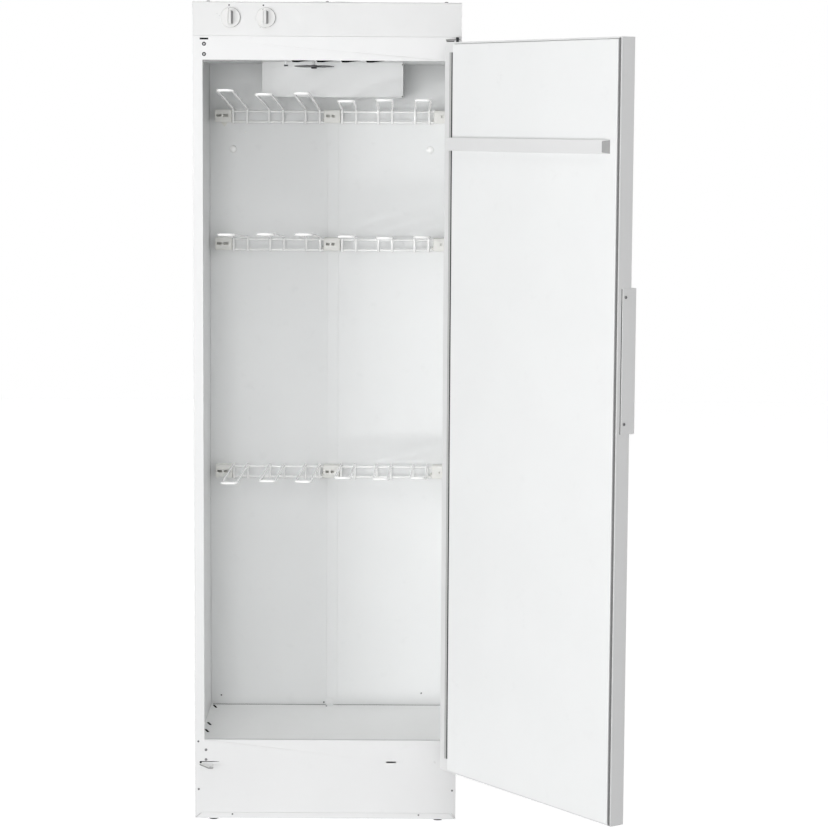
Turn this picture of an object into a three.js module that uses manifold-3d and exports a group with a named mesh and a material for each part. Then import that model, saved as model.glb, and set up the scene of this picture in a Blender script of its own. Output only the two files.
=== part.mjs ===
// Tall drying cabinet with an open hinged door, hanger racks and a heater box under the ceiling.
// Millimetres, +Z up, +X to the right as seen from the front, +Y to the back.
// The origin is the centre of the base pan's underside. Inside the functions below, y is the
// distance behind the plane of the front frame, and the group at the end shifts all of it.
import * as THREE from 'three';
import { mergeVertices } from 'three/addons/utils/BufferGeometryUtils.js';
import Module from 'manifold-3d';

const wasm = await Module();
wasm.setup();

// ---- driving dimensions -------------------------------------------------------------------

// body
const WIDTH = 595;
const HEIGHT = 1845;
const DEPTH = 477;
const SHEET = 1.2; // steel sheet
const SEAM = 0.3; // gap between two pieces that touch
const JAMB_WIDTH = 22; // front face beside the opening
const THRESHOLD_HEIGHT = 183; // base to the lower edge of the opening
const HEADER_DROP = 127.5; // top to the upper edge of the opening
const PANEL_HEIGHT = 75; // control panel
const RAIL_HEIGHT = 14; // mitred rail along the bottom
const LIP_DEPTH = 12; // folded edge around the opening
const SIDE_FRONT_FLANGE = 18;
const SIDE_REAR_FLANGE = 15;
const FLANGE_END_GAP = 20; // from the ends of the opening to the ends of the front flange
const PAN_FLANGE = 25;
const PAN_FIELD_STEP = 1.8; // the pan's middle is pressed down by this
const PAN_FIELD_INSET = 72; // from the sides
const PAN_FIELD_END = 24; // from the front and the back
const STRIP_WIDTH = 26;

// inner floor and ceiling
const FLOOR_HEIGHT = 157.5;
const INNER_FLANGE = 18;
const FLOOR_SLOT_LENGTH = 36;
const FLOOR_SLOT_WIDTH = 6;
const FLOOR_SLOT_INSET = 10.5; // slot centre from the side wall
const FLOOR_SLOT_TILT = 18; // degrees from the side wall
const FLOOR_SLOT_FIRST = 196; // behind the front
const FLOOR_SLOT_STEP = 71;
const FLOOR_SLOT_FROM_BACK = 27;
const CEILING_SLOT_COUNT = 4;
const CEILING_SLOT_LENGTH = 62;
const CEILING_SLOT_WIDTH = 9;
const CEILING_SLOT_PITCH = 55;
const CEILING_SLOT_X = 33; // middle of the row
const CEILING_SLOT_Y = 45;
const CEILING_SLOT_TILT = 35; // degrees from the front

// heater box
const DUCT_LEFT = -155;
const DUCT_RIGHT = 168;
const DUCT_FRONT = 200;
const DUCT_DROP = 77.5;
const OUTLET_LENGTH = 70;
const OUTLET_WIDTH = 14;
const OUTLET_PITCH_X = 98;
const OUTLET_PITCH_Y = 45;
const HEATER_TUBE = 8.5; // diameter
const HEATER_RUN = 220; // length of one straight run
const HEATER_RUN_PITCH = 44;
const HEATER_FIRST_RUN = 60; // behind the heater box's front
const HEATER_HANG = 38; // below the ceiling
const HEATER_BEND = 14;

// fan
const FAN_X = -34;
const FAN_Y = 120;
const FAN_DIAMETER = 94;
const FAN_BLADES = 7;
const BLADE_THICKNESS = 3.5;
const BLADE_TILT = 10;
const FAN_HANG = 9; // middle of the blades below the ceiling
const HUB_DIAMETER = 20;
const HUB_HEIGHT = 11;
const FAN_SHAFT = 6;
const FAN_SHAFT_LENGTH = 24;
const MOTOR_DIAMETER = 84;
const MOTOR_HEIGHT = 46;
const MOTOR_FLANGE = 112;
const MOTOR_FLANGE_THICKNESS = 3;
const RUNNING_GAP = 0.4;

// controls
const KNOB_DROP = 34.7; // below the top
const TIMER_INSET = 84.2; // knob centre from the left side
const KNOB_SPACING = 77.7;
const KNOB_DIAMETER = 47;
const KNOB_SKIRT = 4.5;
const GRIP_LENGTH = 30;
const GRIP_WIDTH = 9;
const GRIP_HEIGHT = 13;
const KNOB_STEM = 6;
const KNOB_STEM_REACH = 14; // into the timer or the switch
const UNIT_WIDTH = 48;
const TIMER_DEPTH = 46;
const SWITCH_DEPTH = 34;

// electrical pieces
const BULB_X = -98;
const BULB_Y = 150;
const BULB_DIAMETER = 11;
const BULB_HANG = 9;
const CUTOUT_X = 60;
const CUTOUT_Y = 260;
const CUTOUT_DIAMETER = 26;
const CUTOUT_HEIGHT = 12;
const TERMINAL_SIZE = [64, 26, 24];
const TERMINAL_INSET = 67.5; // from the left side
const TERMINAL_FROM_BACK = 57;
const GLAND_INSET = 57.5;
const GLAND_DROP = 60;
const GLAND_THREAD = 20;
const GLAND_NUT = 26;
const SENSOR_SIZE = [38, 10, 14];
const SENSOR_INSET = 67.5;
const SENSOR_HEIGHT_OVER_OPENING = 26;
const COLLAR_DIAMETER = 125;
const COLLAR_WALL = 1.5;
const COLLAR_RISE = 12;
const COLLAR_SINK = 18;
const COLLAR_Y = 300;

// door
const DOOR_SIDE_GAP = 1.5; // inside the cabinet's side
const DOOR_BOTTOM = 127.5;
const DOOR_TOP_DROP = 87.7; // below the cabinet's top
const DOOR_GAP = 3; // flange to front frame, closed
const DOOR_THICKNESS = 35;
const HINGE_FLANGE = 18.6;
const FREE_FLANGE = 4;
const END_FLANGE = 3.5; // along the top and the bottom
const CORNER_PLATE = 22; // closed corners of the seal's channel
const LINER_HINGE_INSET = 33;
const LINER_FREE_INSET = 10;
const LINER_PROUD = 1.7;
const LINER_FOLD = 11;
const SEAL_RECESS = 2;
const SEAL_DEPTH = 7;
const SEAL_HINGE_WIDTH = 9;
const SEAL_WIDTH = 3.4;
const DOOR_OPEN_ANGLE = 126.2; // as it stands
const PIVOT_INSET = 8.5; // from the door's hinge edge
const PIVOT_DEPTH = 8; // behind the door's outer face

// hinges
const PIN_DIAMETER = 6;
const PIN_IN_BUSH = 10;
const PLATE_THICKNESS = 3;
const BUSH_DIAMETER = 10;
const BUSH_HEIGHT = 14;
const BUSH_FLANGE = 0.5; // thickness of the washer face under the plate
const UPPER_PLATE_RISE = 6.5; // door top to the middle of the plate
const PLATE_TIP_RADIUS = 6.5;
const PLATE_ROOT_WIDTH = 18;
const PLATE_ROOT_INSET = 25.5; // root's middle from the side
const SPARE_TIP_SHIFT = 12.5; // pivot hole's place beside the root's middle
const SPARE_ROOT_WIDTH = 29;
const PLATE_LEG_HEIGHT = 42;
const HINGE_SCREW_OFFSETS = [11.5, 34];
const HINGE_SCREW_HOLE = 5;
const HINGE_SLOT_CLEARANCE = 0.3;

// rail and handle on the door
const DOOR_RAIL_HEIGHT = 28.4;
const DOOR_RAIL_DROP = 207.4; // below the door's top
const DOOR_RAIL_PROUD = 12;
const DOOR_RAIL_HINGE_END = 24; // from the door's hinge edge
const DOOR_RAIL_FREE_END = 33;
const HANDLE_LENGTH = 300;
const HANDLE_BOTTOM = 949;
const HANDLE_THICKNESS = 2.5;
const HANDLE_INSET = 27.5; // from the flange side of the door to the handle's start
const HANDLE_PROUD = 11;
const HANDLE_LIP = 26;

// catch
const MAGNET_SIZE = [8, 14, 60];
const MAGNET_DROP = 62.3; // below the door's top

// hanger racks
const WIRE = 5; // diameter
const RACK_FROM_WALL = 28.3;
const BAR_SPACING = 24.7;
const LOOP_END_MARGIN = 6.95; // from the outermost wires to the brackets
const LOOP_WIDTH = 33.5;
const LOOPS_PER_RACK = 3;
const LEFT_LOOP_SHIFT = -3.6; // from a place that mirrors the other side
const RIGHT_LOOP_SHIFT = -4.5;
const TIP_FROM_FRONT = 36;
const TIP_BEND = 11;
const ROOT_BEND = 7;
const BEND_OVER_BAR = 6;
const LEG_BEFORE_BAR = 4; // legs are welded to the front of the bars
const UPPER_RACK_DROP = 111.1; // upper bars below the opening's top
const MIDDLE_RACK_DROP = 415.9;
const LOWER_RACK_DROP = 966;
// how far each rack's arm tips rise above its upper bar, and how far they lean to the left
const UPPER_LEFT_RISE = 40;
const UPPER_LEFT_LEAN = 7.7;
const UPPER_RIGHT_RISE = 24.3;
const UPPER_RIGHT_LEAN = -2;
const MIDDLE_LEFT_RISE = 29;
const MIDDLE_LEFT_LEAN = 6.8;
const MIDDLE_RIGHT_RISE = 24.6;
const MIDDLE_RIGHT_LEAN = -2;
const LOWER_LEFT_RISE = 19.2;
const LOWER_LEFT_LEAN = 2.3;
const LOWER_RIGHT_RISE = 28.9;
const LOWER_RIGHT_LEAN = 3.9;

// rack brackets
const BRACKET_HALF = 19.5;
const CENTRE_BRACKET_SHIFT = -2;
const BRACKET_ABOVE = 4; // over the upper bar
const BRACKET_BELOW = 1.7; // under the lower bar
const BRACKET_NOSE = 10; // in front of the bars
const BRACKET_STOP = 4; // foot plate beside the block, which the lower bar leans on
const OUTER_BRACKET_WIDTH = 40;
const OUTER_BRACKET_INSET = 16; // from the cabinet's side
const BAR_END_IN_BRACKET = 7;
const POCKET = [14.5, 6, 8.7];
const POCKET_SPACING = 18;

// feet
const FOOT_HEIGHT = 10;
const FOOT_DIAMETER = 23;
const FOOT_STUD = 10;
const FOOT_STUD_RISE = 26;
const FOOT_INSET = 40.5; // from the side
const FOOT_FROM_EDGE = 37;

// lower front
const INTAKE_SLOT_X = 150;
const INTAKE_SLOT_LENGTH = 22;
const INTAKE_SLOT_HEIGHT = 3.5;
const INTAKE_SLOT_Z = 132.5;

// ---- places worked out from them ----------------------------------------------------------

const HALF = WIDTH / 2;
const OPENING_HALF = HALF - JAMB_WIDTH;
const OPENING_TOP = HEIGHT - HEADER_DROP;
const PANEL_BOTTOM = HEIGHT - PANEL_HEIGHT;
const COVER_UNDERSIDE = HEIGHT - SHEET;
const INNER_HALF = HALF - SHEET - SEAM; // edges of the pieces between the side walls
const BEHIND_FRONT = SHEET + SEAM;
const TRAY_FRONT = BEHIND_FRONT + PLATE_THICKNESS + SEAM; // floor and ceiling, behind the hinge plates
const BACK_SHEET = DEPTH - 2 * SHEET - SEAM; // inner face of the back wall
const STRIP_FRONT = BACK_SHEET - SEAM - SHEET;
const CEILING = OPENING_TOP + SHEET + SEAM;
const CEILING_TOP = CEILING + SHEET;
const DUCT_TOP = CEILING - SEAM;
const DUCT_BOTTOM = DUCT_TOP - DUCT_DROP;
const DUCT_BACK = STRIP_FRONT - SEAM;

const TIMER_X = -HALF + TIMER_INSET;
const PROGRAM_X = TIMER_X + KNOB_SPACING;
const TERMINAL_X = -HALF + TERMINAL_INSET;
const TERMINAL_Y = DEPTH - TERMINAL_FROM_BACK;
const GLAND_X = -HALF + GLAND_INSET;
const SENSOR_X = -HALF + SENSOR_INSET;
const FOOT_X = HALF - FOOT_INSET;
const FLOOR_SLOT_DEPTHS = [
  FLOOR_SLOT_FIRST,
  FLOOR_SLOT_FIRST + FLOOR_SLOT_STEP,
  DEPTH - FLOOR_SLOT_FROM_BACK,
];

const DOOR_HALF = HALF - DOOR_SIDE_GAP;
const DOOR_TOP = HEIGHT - DOOR_TOP_DROP;
const DOOR_RAIL_BOTTOM = DOOR_TOP - DOOR_RAIL_DROP - DOOR_RAIL_HEIGHT;
const FLANGE_FACE = -DOOR_GAP;
const OUTER_FACE = -DOOR_GAP - DOOR_THICKNESS;
const LINER_FACE = FLANGE_FACE + LINER_PROUD;
const LINER_LEFT = -DOOR_HALF + LINER_FREE_INSET;
const LINER_RIGHT = DOOR_HALF - LINER_HINGE_INSET;
const PIVOT_X = DOOR_HALF - PIVOT_INSET;
const PIVOT_Y = OUTER_FACE + PIVOT_DEPTH;

const UPPER_PLATE = DOOR_TOP + UPPER_PLATE_RISE - PLATE_THICKNESS / 2;
const LOWER_PLATE = DOOR_BOTTOM - SEAM - BUSH_FLANGE - PLATE_THICKNESS;
const PLATE_ROOT_X = HALF - PLATE_ROOT_INSET;
const HINGE_PLATES = [
  { node: 'upper_hinge_plate', side: 1, z: UPPER_PLATE, leg: -1, root: PLATE_ROOT_WIDTH, tip: PIVOT_X },
  { node: 'lower_hinge_plate', side: 1, z: LOWER_PLATE, leg: 1, root: PLATE_ROOT_WIDTH, tip: PIVOT_X },
  {
    node: 'spare_hinge_plate',
    side: -1,
    z: LOWER_PLATE,
    leg: 1,
    root: SPARE_ROOT_WIDTH,
    tip: SPARE_TIP_SHIFT - PLATE_ROOT_X,
  },
];
const EMPTY_SLOT = { side: -1, z: UPPER_PLATE, leg: -1, root: PLATE_ROOT_WIDTH };

const RACK_Y = BACK_SHEET - RACK_FROM_WALL;
const LEVEL_HEIGHTS = {
  upper: OPENING_TOP - UPPER_RACK_DROP,
  middle: OPENING_TOP - MIDDLE_RACK_DROP,
  lower: OPENING_TOP - LOWER_RACK_DROP,
};
const RACKS = [
  { level: 'upper', side: 'left', rise: UPPER_LEFT_RISE, lean: UPPER_LEFT_LEAN },
  { level: 'upper', side: 'right', rise: UPPER_RIGHT_RISE, lean: UPPER_RIGHT_LEAN },
  { level: 'middle', side: 'left', rise: MIDDLE_LEFT_RISE, lean: MIDDLE_LEFT_LEAN },
  { level: 'middle', side: 'right', rise: MIDDLE_RIGHT_RISE, lean: MIDDLE_RIGHT_LEAN },
  { level: 'lower', side: 'left', rise: LOWER_LEFT_RISE, lean: LOWER_LEFT_LEAN },
  { level: 'lower', side: 'right', rise: LOWER_RIGHT_RISE, lean: LOWER_RIGHT_LEAN },
];
const OUTER_BRACKET_X = HALF - OUTER_BRACKET_INSET - OUTER_BRACKET_WIDTH; // inner faces
const LOOP_SPAN = OUTER_BRACKET_X - BRACKET_HALF - 2 * LOOP_END_MARGIN - LOOP_WIDTH;
const LOOP_PITCH = LOOP_SPAN / (LOOPS_PER_RACK - 1);
const FIRST_LOOP = BRACKET_HALF + LOOP_END_MARGIN + LOOP_WIDTH / 2;
const SOCKET_RADIUS = WIRE / 2 + RUNNING_GAP;
const FOOT_PLACES = [
  { node: 'foot_front_left', x: -FOOT_X, y: FOOT_FROM_EDGE },
  { node: 'foot_front_right', x: FOOT_X, y: FOOT_FROM_EDGE },
  { node: 'foot_back_left', x: -FOOT_X, y: DEPTH - FOOT_FROM_EDGE },
  { node: 'foot_back_right', x: FOOT_X, y: DEPTH - FOOT_FROM_EDGE },
];

// ---- materials ----------------------------------------------------------------------------

function finish(color, roughness, metalness = 0) {
  return new THREE.MeshStandardMaterial({ color, roughness, metalness });
}

const WHITE_PAINT = finish(0xe9ebec, 0.42);
const INNER_PAINT = finish(0xe4e6e7, 0.5);
const WHITE_PLASTIC = finish(0xdedfdc, 0.5);
const BRACKET_PLASTIC = finish(0xb9b8b2, 0.55);
const WHITE_COATING = finish(0xf1f2f2, 0.35);
const DARK_PLASTIC = finish(0x23262a, 0.5);
const GREY_RUBBER = finish(0x6f7377, 0.75);
const ZINC = finish(0xb4b7b9, 0.38, 0.9);
const STAINLESS = finish(0x8d8f8f, 0.35, 0.9);
const FOAM = finish(0xe6dfc4, 0.9);
const MAGNET = finish(0x3c3d40, 0.6, 0.4);

// ---- solids -------------------------------------------------------------------------------

function solidOf(geometry) {
  geometry.deleteAttribute('normal');
  geometry.deleteAttribute('uv');
  const merged = mergeVertices(geometry);
  const vertProperties = new Float32Array(merged.attributes.position.array);
  const triVerts = new Uint32Array(merged.index.array);
  return new wasm.Manifold(new wasm.Mesh({ numProp: 3, vertProperties, triVerts }));
}

function geometryOf(solid) {
  const mesh = solid.getMesh();
  const geometry = new THREE.BufferGeometry();
  geometry.setAttribute('position', new THREE.BufferAttribute(mesh.vertProperties, 3));
  geometry.setIndex(new THREE.BufferAttribute(mesh.triVerts, 1));
  geometry.computeVertexNormals();
  return geometry;
}

function join(...solids) {
  return solids.reduce((sum, next) => sum.add(next));
}

function cut(solid, ...tools) {
  return tools.reduce((rest, tool) => rest.subtract(tool), solid);
}

// a box between two values on each axis
function block([x0, x1], [y0, y1], [z0, z1]) {
  const geometry = new THREE.BoxGeometry(x1 - x0, y1 - y0, z1 - z0);
  geometry.translate((x0 + x1) / 2, (y0 + y1) / 2, (z0 + z1) / 2);
  return solidOf(geometry);
}

// a round rod between two points
function rod(start, end, radius, sides = 24) {
  const a = new THREE.Vector3(...start);
  const b = new THREE.Vector3(...end);
  const along = b.clone().sub(a);
  const geometry = new THREE.CylinderGeometry(radius, radius, along.length(), sides);
  const turn = new THREE.Quaternion();
  turn.setFromUnitVectors(new THREE.Vector3(0, 1, 0), along.clone().normalize());
  geometry.applyQuaternion(turn);
  geometry.translate(...a.add(b).multiplyScalar(0.5).toArray());
  return solidOf(geometry);
}

function shapeOf(points) {
  return new THREE.Shape(points.map(([u, v]) => new THREE.Vector2(u, v)));
}

function extruded(shape, depth, curveSegments) {
  return new THREE.ExtrudeGeometry(shape, { depth, bevelEnabled: false, curveSegments });
}

// an outline in x and y, from z0 up to z1
function prismUp(shape, z0, z1) {
  const geometry = extruded(shape, z1 - z0, 3);
  geometry.translate(0, 0, z0);
  return solidOf(geometry);
}

// an outline in x and z, from y0 back to y1
function prismBack(shape, y0, y1) {
  const geometry = extruded(shape, y1 - y0, 3);
  geometry.rotateX(Math.PI / 2);
  geometry.translate(0, y1, 0);
  return solidOf(geometry);
}

// a lathe profile of [radius, z] points around a vertical axis
function turned(profile, x, y, sides = 32) {
  const points = profile.map(([r, z]) => new THREE.Vector2(r, z));
  const geometry = new THREE.LatheGeometry(points, sides);
  geometry.rotateX(Math.PI / 2);
  geometry.translate(x, y, 0);
  return solidOf(geometry);
}

// a long slot with round ends, cut upwards through a level sheet
function slotTool(x, y, length, width, degrees, z0, z1) {
  const straight = (length - width) / 2;
  const shape = new THREE.Shape();
  shape.absarc(straight, 0, width / 2, -Math.PI / 2, Math.PI / 2, false);
  shape.absarc(-straight, 0, width / 2, Math.PI / 2, Math.PI * 1.5, false);
  const geometry = extruded(shape, z1 - z0, 2);
  geometry.rotateZ(THREE.MathUtils.degToRad(degrees));
  geometry.translate(x, y, z0);
  return solidOf(geometry);
}

// corner points with a round bend put in at each inner corner
function roundCorners(corners, radius, steps) {
  const points = corners.map((c) => new THREE.Vector3(...c));
  const path = [points[0]];
  for (let i = 1; i < points.length - 1; i += 1) {
    const toLast = points[i - 1].clone().sub(points[i]).normalize();
    const toNext = points[i + 1].clone().sub(points[i]).normalize();
    const half = toLast.angleTo(toNext) / 2;
    const inset = radius / Math.tan(half);
    const bisector = toLast.clone().add(toNext).normalize();
    const centre = points[i].clone().addScaledVector(bisector, radius / Math.sin(half));
    const from = points[i].clone().addScaledVector(toLast, inset).sub(centre);
    const to = points[i].clone().addScaledVector(toNext, inset).sub(centre);
    const sweep = from.angleTo(to);
    for (let k = 0; k <= steps; k += 1) {
      const a = (sweep * k) / steps;
      const share = from.clone().multiplyScalar(Math.sin(sweep - a) / Math.sin(sweep));
      share.addScaledVector(to, Math.sin(a) / Math.sin(sweep));
      path.push(centre.clone().add(share));
    }
  }
  path.push(points[points.length - 1]);
  return path.map((p) => p.toArray());
}

// a bent wire of one round section, mitred at each bend
function wire(path, radius, sides = 8) {
  const points = path.map((p) => new THREE.Vector3(...p));
  const steps = points.slice(1).map((p, i) => p.clone().sub(points[i]).normalize());
  const alongX = Math.abs(steps[0].x) > 0.9;
  const across = alongX ? new THREE.Vector3(0, 1, 0) : new THREE.Vector3(1, 0, 0);
  const u = across.sub(steps[0].clone().multiplyScalar(across.dot(steps[0]))).normalize();
  const v = steps[0].clone().cross(u);
  const rings = [Array.from({ length: sides }, (_, k) => {
    const angle = (2 * Math.PI * (k + 0.5)) / sides;
    const spoke = u.clone().multiplyScalar(radius * Math.cos(angle));
    return spoke.addScaledVector(v, radius * Math.sin(angle)).add(points[0]);
  })];
  for (let i = 1; i < points.length; i += 1) {
    const step = steps[i - 1];
    const normal = i < steps.length ? step.clone().add(steps[i]).normalize() : step;
    rings.push(rings[i - 1].map((p) => {
      const run = points[i].clone().sub(p).dot(normal) / step.dot(normal);
      return p.clone().addScaledVector(step, run);
    }));
  }
  const faces = [];
  for (let i = 1; i < rings.length; i += 1) {
    for (let k = 0; k < sides; k += 1) {
      const a = (i - 1) * sides + k;
      const b = (i - 1) * sides + ((k + 1) % sides);
      faces.push(a, b, b + sides, a, b + sides, a + sides);
    }
  }
  const last = (rings.length - 1) * sides;
  for (let k = 1; k < sides - 1; k += 1) {
    faces.push(0, k + 1, k, last, last + k, last + k + 1);
  }
  const vertProperties = new Float32Array(rings.flat().flatMap((p) => p.toArray()));
  return new wasm.Manifold(new wasm.Mesh({ numProp: 3, vertProperties, triVerts: new Uint32Array(faces) }));
}

function mesh(name, solid, material) {
  const piece = new THREE.Mesh(geometryOf(solid), material);
  piece.name = name;
  return piece;
}

// ---- hinge plates -------------------------------------------------------------------------

// the plate's level tongue: a wide root that narrows to a round tip over the pivot
function tongueShape(plate, back) {
  const left = plate.side * PLATE_ROOT_X - plate.root / 2;
  const right = left + plate.root;
  const shape = new THREE.Shape();
  shape.moveTo(left, back);
  shape.lineTo(left, -BEHIND_FRONT);
  shape.absarc(plate.tip, PIVOT_Y, PLATE_TIP_RADIUS, Math.PI * 1.1, Math.PI * 1.95, false);
  shape.lineTo(right, -BEHIND_FRONT);
  shape.lineTo(right, back);
  return shape;
}

function legEnds(plate) {
  const top = plate.z + PLATE_THICKNESS;
  return plate.leg > 0 ? [plate.z, top + PLATE_LEG_HEIGHT] : [plate.z - PLATE_LEG_HEIGHT, top];
}

function hingeScrewHeights(plate) {
  return HINGE_SCREW_OFFSETS.map((offset) => plate.z + PLATE_THICKNESS / 2 + plate.leg * offset);
}

function hingePlate(plate) {
  const legBack = BEHIND_FRONT + PLATE_THICKNESS;
  const left = plate.side * PLATE_ROOT_X - plate.root / 2;
  const tongue = prismUp(tongueShape(plate, legBack), plate.z, plate.z + PLATE_THICKNESS);
  const leg = block([left, left + plate.root], [BEHIND_FRONT, legBack], legEnds(plate));
  const hole = rod([plate.tip, PIVOT_Y, plate.z - 1], [plate.tip, PIVOT_Y, plate.z + PLATE_THICKNESS + 1],
    PIN_DIAMETER / 2 + SEAM, 16);
  const screwHoles = hingeScrewHeights(plate).map((z) => screwHole(plate, z));
  return cut(join(tongue, leg), hole, ...screwHoles);
}

function screwHole(plate, z) {
  const x = plate.side * PLATE_ROOT_X;
  return rod([x, -1, z], [x, BEHIND_FRONT + PLATE_THICKNESS + 1, z], HINGE_SCREW_HOLE / 2, 10);
}

function hingeSlot(plate) {
  const half = plate.root / 2 + HINGE_SLOT_CLEARANCE;
  const x = plate.side * PLATE_ROOT_X;
  const z0 = plate.z - HINGE_SLOT_CLEARANCE;
  const z1 = plate.z + PLATE_THICKNESS + HINGE_SLOT_CLEARANCE;
  return block([x - half, x + half], [-1, SHEET + 1], [z0, z1]);
}

function hingePin(z0, z1) {
  return rod([PIVOT_X, PIVOT_Y, z0], [PIVOT_X, PIVOT_Y, z1], PIN_DIAMETER / 2, 12);
}

// ---- body ---------------------------------------------------------------------------------

function frontFrame() {
  const top = PANEL_BOTTOM - SEAM;
  const outline = shapeOf([
    [-HALF, 0],
    [-HALF + RAIL_HEIGHT, RAIL_HEIGHT],
    [HALF - RAIL_HEIGHT, RAIL_HEIGHT],
    [HALF, 0],
    [HALF, top],
    [-HALF, top],
  ]);
  const plate = prismBack(outline, 0, SHEET);
  const opening = block([-OPENING_HALF, OPENING_HALF], [-1, SHEET + 1], [THRESHOLD_HEIGHT, OPENING_TOP]);
  const outer = block([-OPENING_HALF - SHEET, OPENING_HALF + SHEET], [0, LIP_DEPTH],
    [THRESHOLD_HEIGHT - SHEET, OPENING_TOP + SHEET]);
  const inner = block([-OPENING_HALF, OPENING_HALF], [-1, LIP_DEPTH + 1], [THRESHOLD_HEIGHT, OPENING_TOP]);
  const places = [...HINGE_PLATES, EMPTY_SLOT];
  const slots = places.map(hingeSlot);
  const holes = places.flatMap((place) => hingeScrewHeights(place).map((z) => screwHole(place, z)));
  const intake = block(
    [INTAKE_SLOT_X - INTAKE_SLOT_LENGTH / 2, INTAKE_SLOT_X + INTAKE_SLOT_LENGTH / 2],
    [-1, SHEET + 1],
    [INTAKE_SLOT_Z - INTAKE_SLOT_HEIGHT / 2, INTAKE_SLOT_Z + INTAKE_SLOT_HEIGHT / 2],
  );
  return cut(join(cut(plate, opening), cut(outer, inner)), ...slots, ...holes, intake);
}

function baseFrontRail() {
  const slant = SEAM * Math.SQRT2;
  const outline = shapeOf([
    [-HALF + slant + SEAM, 0],
    [-HALF + RAIL_HEIGHT + slant, RAIL_HEIGHT - SEAM],
    [HALF - RAIL_HEIGHT - slant, RAIL_HEIGHT - SEAM],
    [HALF - slant - SEAM, 0],
  ]);
  return prismBack(outline, 0, SHEET);
}

function controlPanel() {
  const front = block([-HALF, HALF], [0, SHEET], [PANEL_BOTTOM, COVER_UNDERSIDE - SEAM]);
  const fold = block([-INNER_HALF, INNER_HALF], [0, LIP_DEPTH], [PANEL_BOTTOM, PANEL_BOTTOM + SHEET]);
  const z = HEIGHT - KNOB_DROP;
  const radius = KNOB_STEM / 2 + 1.5;
  const holes = [TIMER_X, PROGRAM_X].map((x) => rod([x, -1, z], [x, SHEET + 1, z], radius, 16));
  return cut(join(front, fold), ...holes);
}

function sidePanel(side) {
  const span = (a, b) => (side > 0 ? [a, b] : [-b, -a]);
  const top = COVER_UNDERSIDE - SEAM;
  const wall = block(span(HALF - SHEET, HALF), [BEHIND_FRONT, DEPTH], [0, top]);
  const front = block(span(HALF - SIDE_FRONT_FLANGE, HALF), [BEHIND_FRONT, BEHIND_FRONT + SHEET],
    [THRESHOLD_HEIGHT + FLANGE_END_GAP, OPENING_TOP - FLANGE_END_GAP]);
  const rear = block(span(HALF - SIDE_REAR_FLANGE, HALF), [DEPTH - SHEET, DEPTH], [0, top]);
  return join(wall, front, rear);
}

function topCover() {
  const plate = block([-HALF, HALF], [0, DEPTH], [COVER_UNDERSIDE, HEIGHT]);
  const fold = block([-INNER_HALF + SIDE_REAR_FLANGE, INNER_HALF - SIDE_REAR_FLANGE],
    [DEPTH - SHEET, DEPTH], [COVER_UNDERSIDE - LIP_DEPTH, COVER_UNDERSIDE]);
  const hole = rod([0, COLLAR_Y, COVER_UNDERSIDE - 1], [0, COLLAR_Y, HEIGHT + 1],
    COLLAR_DIAMETER / 2 + 2 * SEAM, 28);
  return cut(join(plate, fold), hole);
}

// a level sheet with its four edges folded up (or down, for a negative fold)
function tray(z0, yFront, fold) {
  const x = INNER_HALF;
  const yBack = BACK_SHEET - SEAM;
  const sheet = block([-x, x], [yFront, yBack], [z0, z0 + SHEET]);
  const rim = fold > 0 ? [z0, z0 + fold] : [z0 + SHEET + fold, z0 + SHEET];
  const outer = block([-x, x], [yFront, yBack], rim);
  const inner = block([-x + SHEET, x - SHEET], [yFront + SHEET, yBack - SHEET], [rim[0] - 1, rim[1] + 1]);
  return join(sheet, cut(outer, inner));
}

function basePan() {
  const pan = tray(PAN_FIELD_STEP, BEHIND_FRONT, PAN_FLANGE);
  const x = HALF - PAN_FIELD_INSET;
  const y = [PAN_FIELD_END, DEPTH - PAN_FIELD_END];
  const field = block([-x, x], y, [0, PAN_FIELD_STEP + SHEET]);
  const hollow = block([-x + SHEET, x - SHEET], [y[0] + SHEET, y[1] - SHEET],
    [SHEET, PAN_FIELD_STEP + SHEET + 1]);
  const radius = FOOT_STUD / 2 + SEAM;
  const holes = FOOT_PLACES.map((place) => rod(
    [place.x, place.y, 0], [place.x, place.y, PAN_FLANGE], radius, 16));
  return cut(join(pan, field), hollow, ...holes);
}

function backSheet(side) {
  const x = side > 0 ? [SEAM / 2, INNER_HALF] : [-INNER_HALF, -SEAM / 2];
  const sheet = block(x, [BACK_SHEET, BACK_SHEET + SHEET], [0, COVER_UNDERSIDE - SEAM]);
  if (side > 0) {
    return sheet;
  }
  const z = HEIGHT - GLAND_DROP;
  const hole = rod([GLAND_X, BACK_SHEET - 1, z], [GLAND_X, DEPTH + 1, z], GLAND_THREAD / 2 + 2 * SEAM, 20);
  return cut(sheet, hole);
}

function backStrip() {
  return block([-STRIP_WIDTH / 2, STRIP_WIDTH / 2], [STRIP_FRONT, STRIP_FRONT + SHEET],
    [FLOOR_HEIGHT + SEAM, DUCT_BOTTOM + DUCT_DROP]);
}

function innerFloor() {
  const floor = tray(FLOOR_HEIGHT - SHEET, TRAY_FRONT, -INNER_FLANGE);
  const slots = [-1, 1].flatMap((side) => FLOOR_SLOT_DEPTHS.map((y) => slotTool(
    side * (INNER_HALF - FLOOR_SLOT_INSET), y, FLOOR_SLOT_LENGTH, FLOOR_SLOT_WIDTH,
    90 + FLOOR_SLOT_TILT, FLOOR_HEIGHT - SHEET - 1, FLOOR_HEIGHT + 1)));
  return cut(floor, ...slots);
}

function heaterEnds() {
  const y = DUCT_FRONT + HEATER_FIRST_RUN;
  const middle = (DUCT_LEFT + DUCT_RIGHT) / 2;
  return [
    { x: middle - HEATER_RUN / 2, y },
    { x: middle + HEATER_RUN / 2, y: y + 2 * HEATER_RUN_PITCH },
  ];
}

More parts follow.
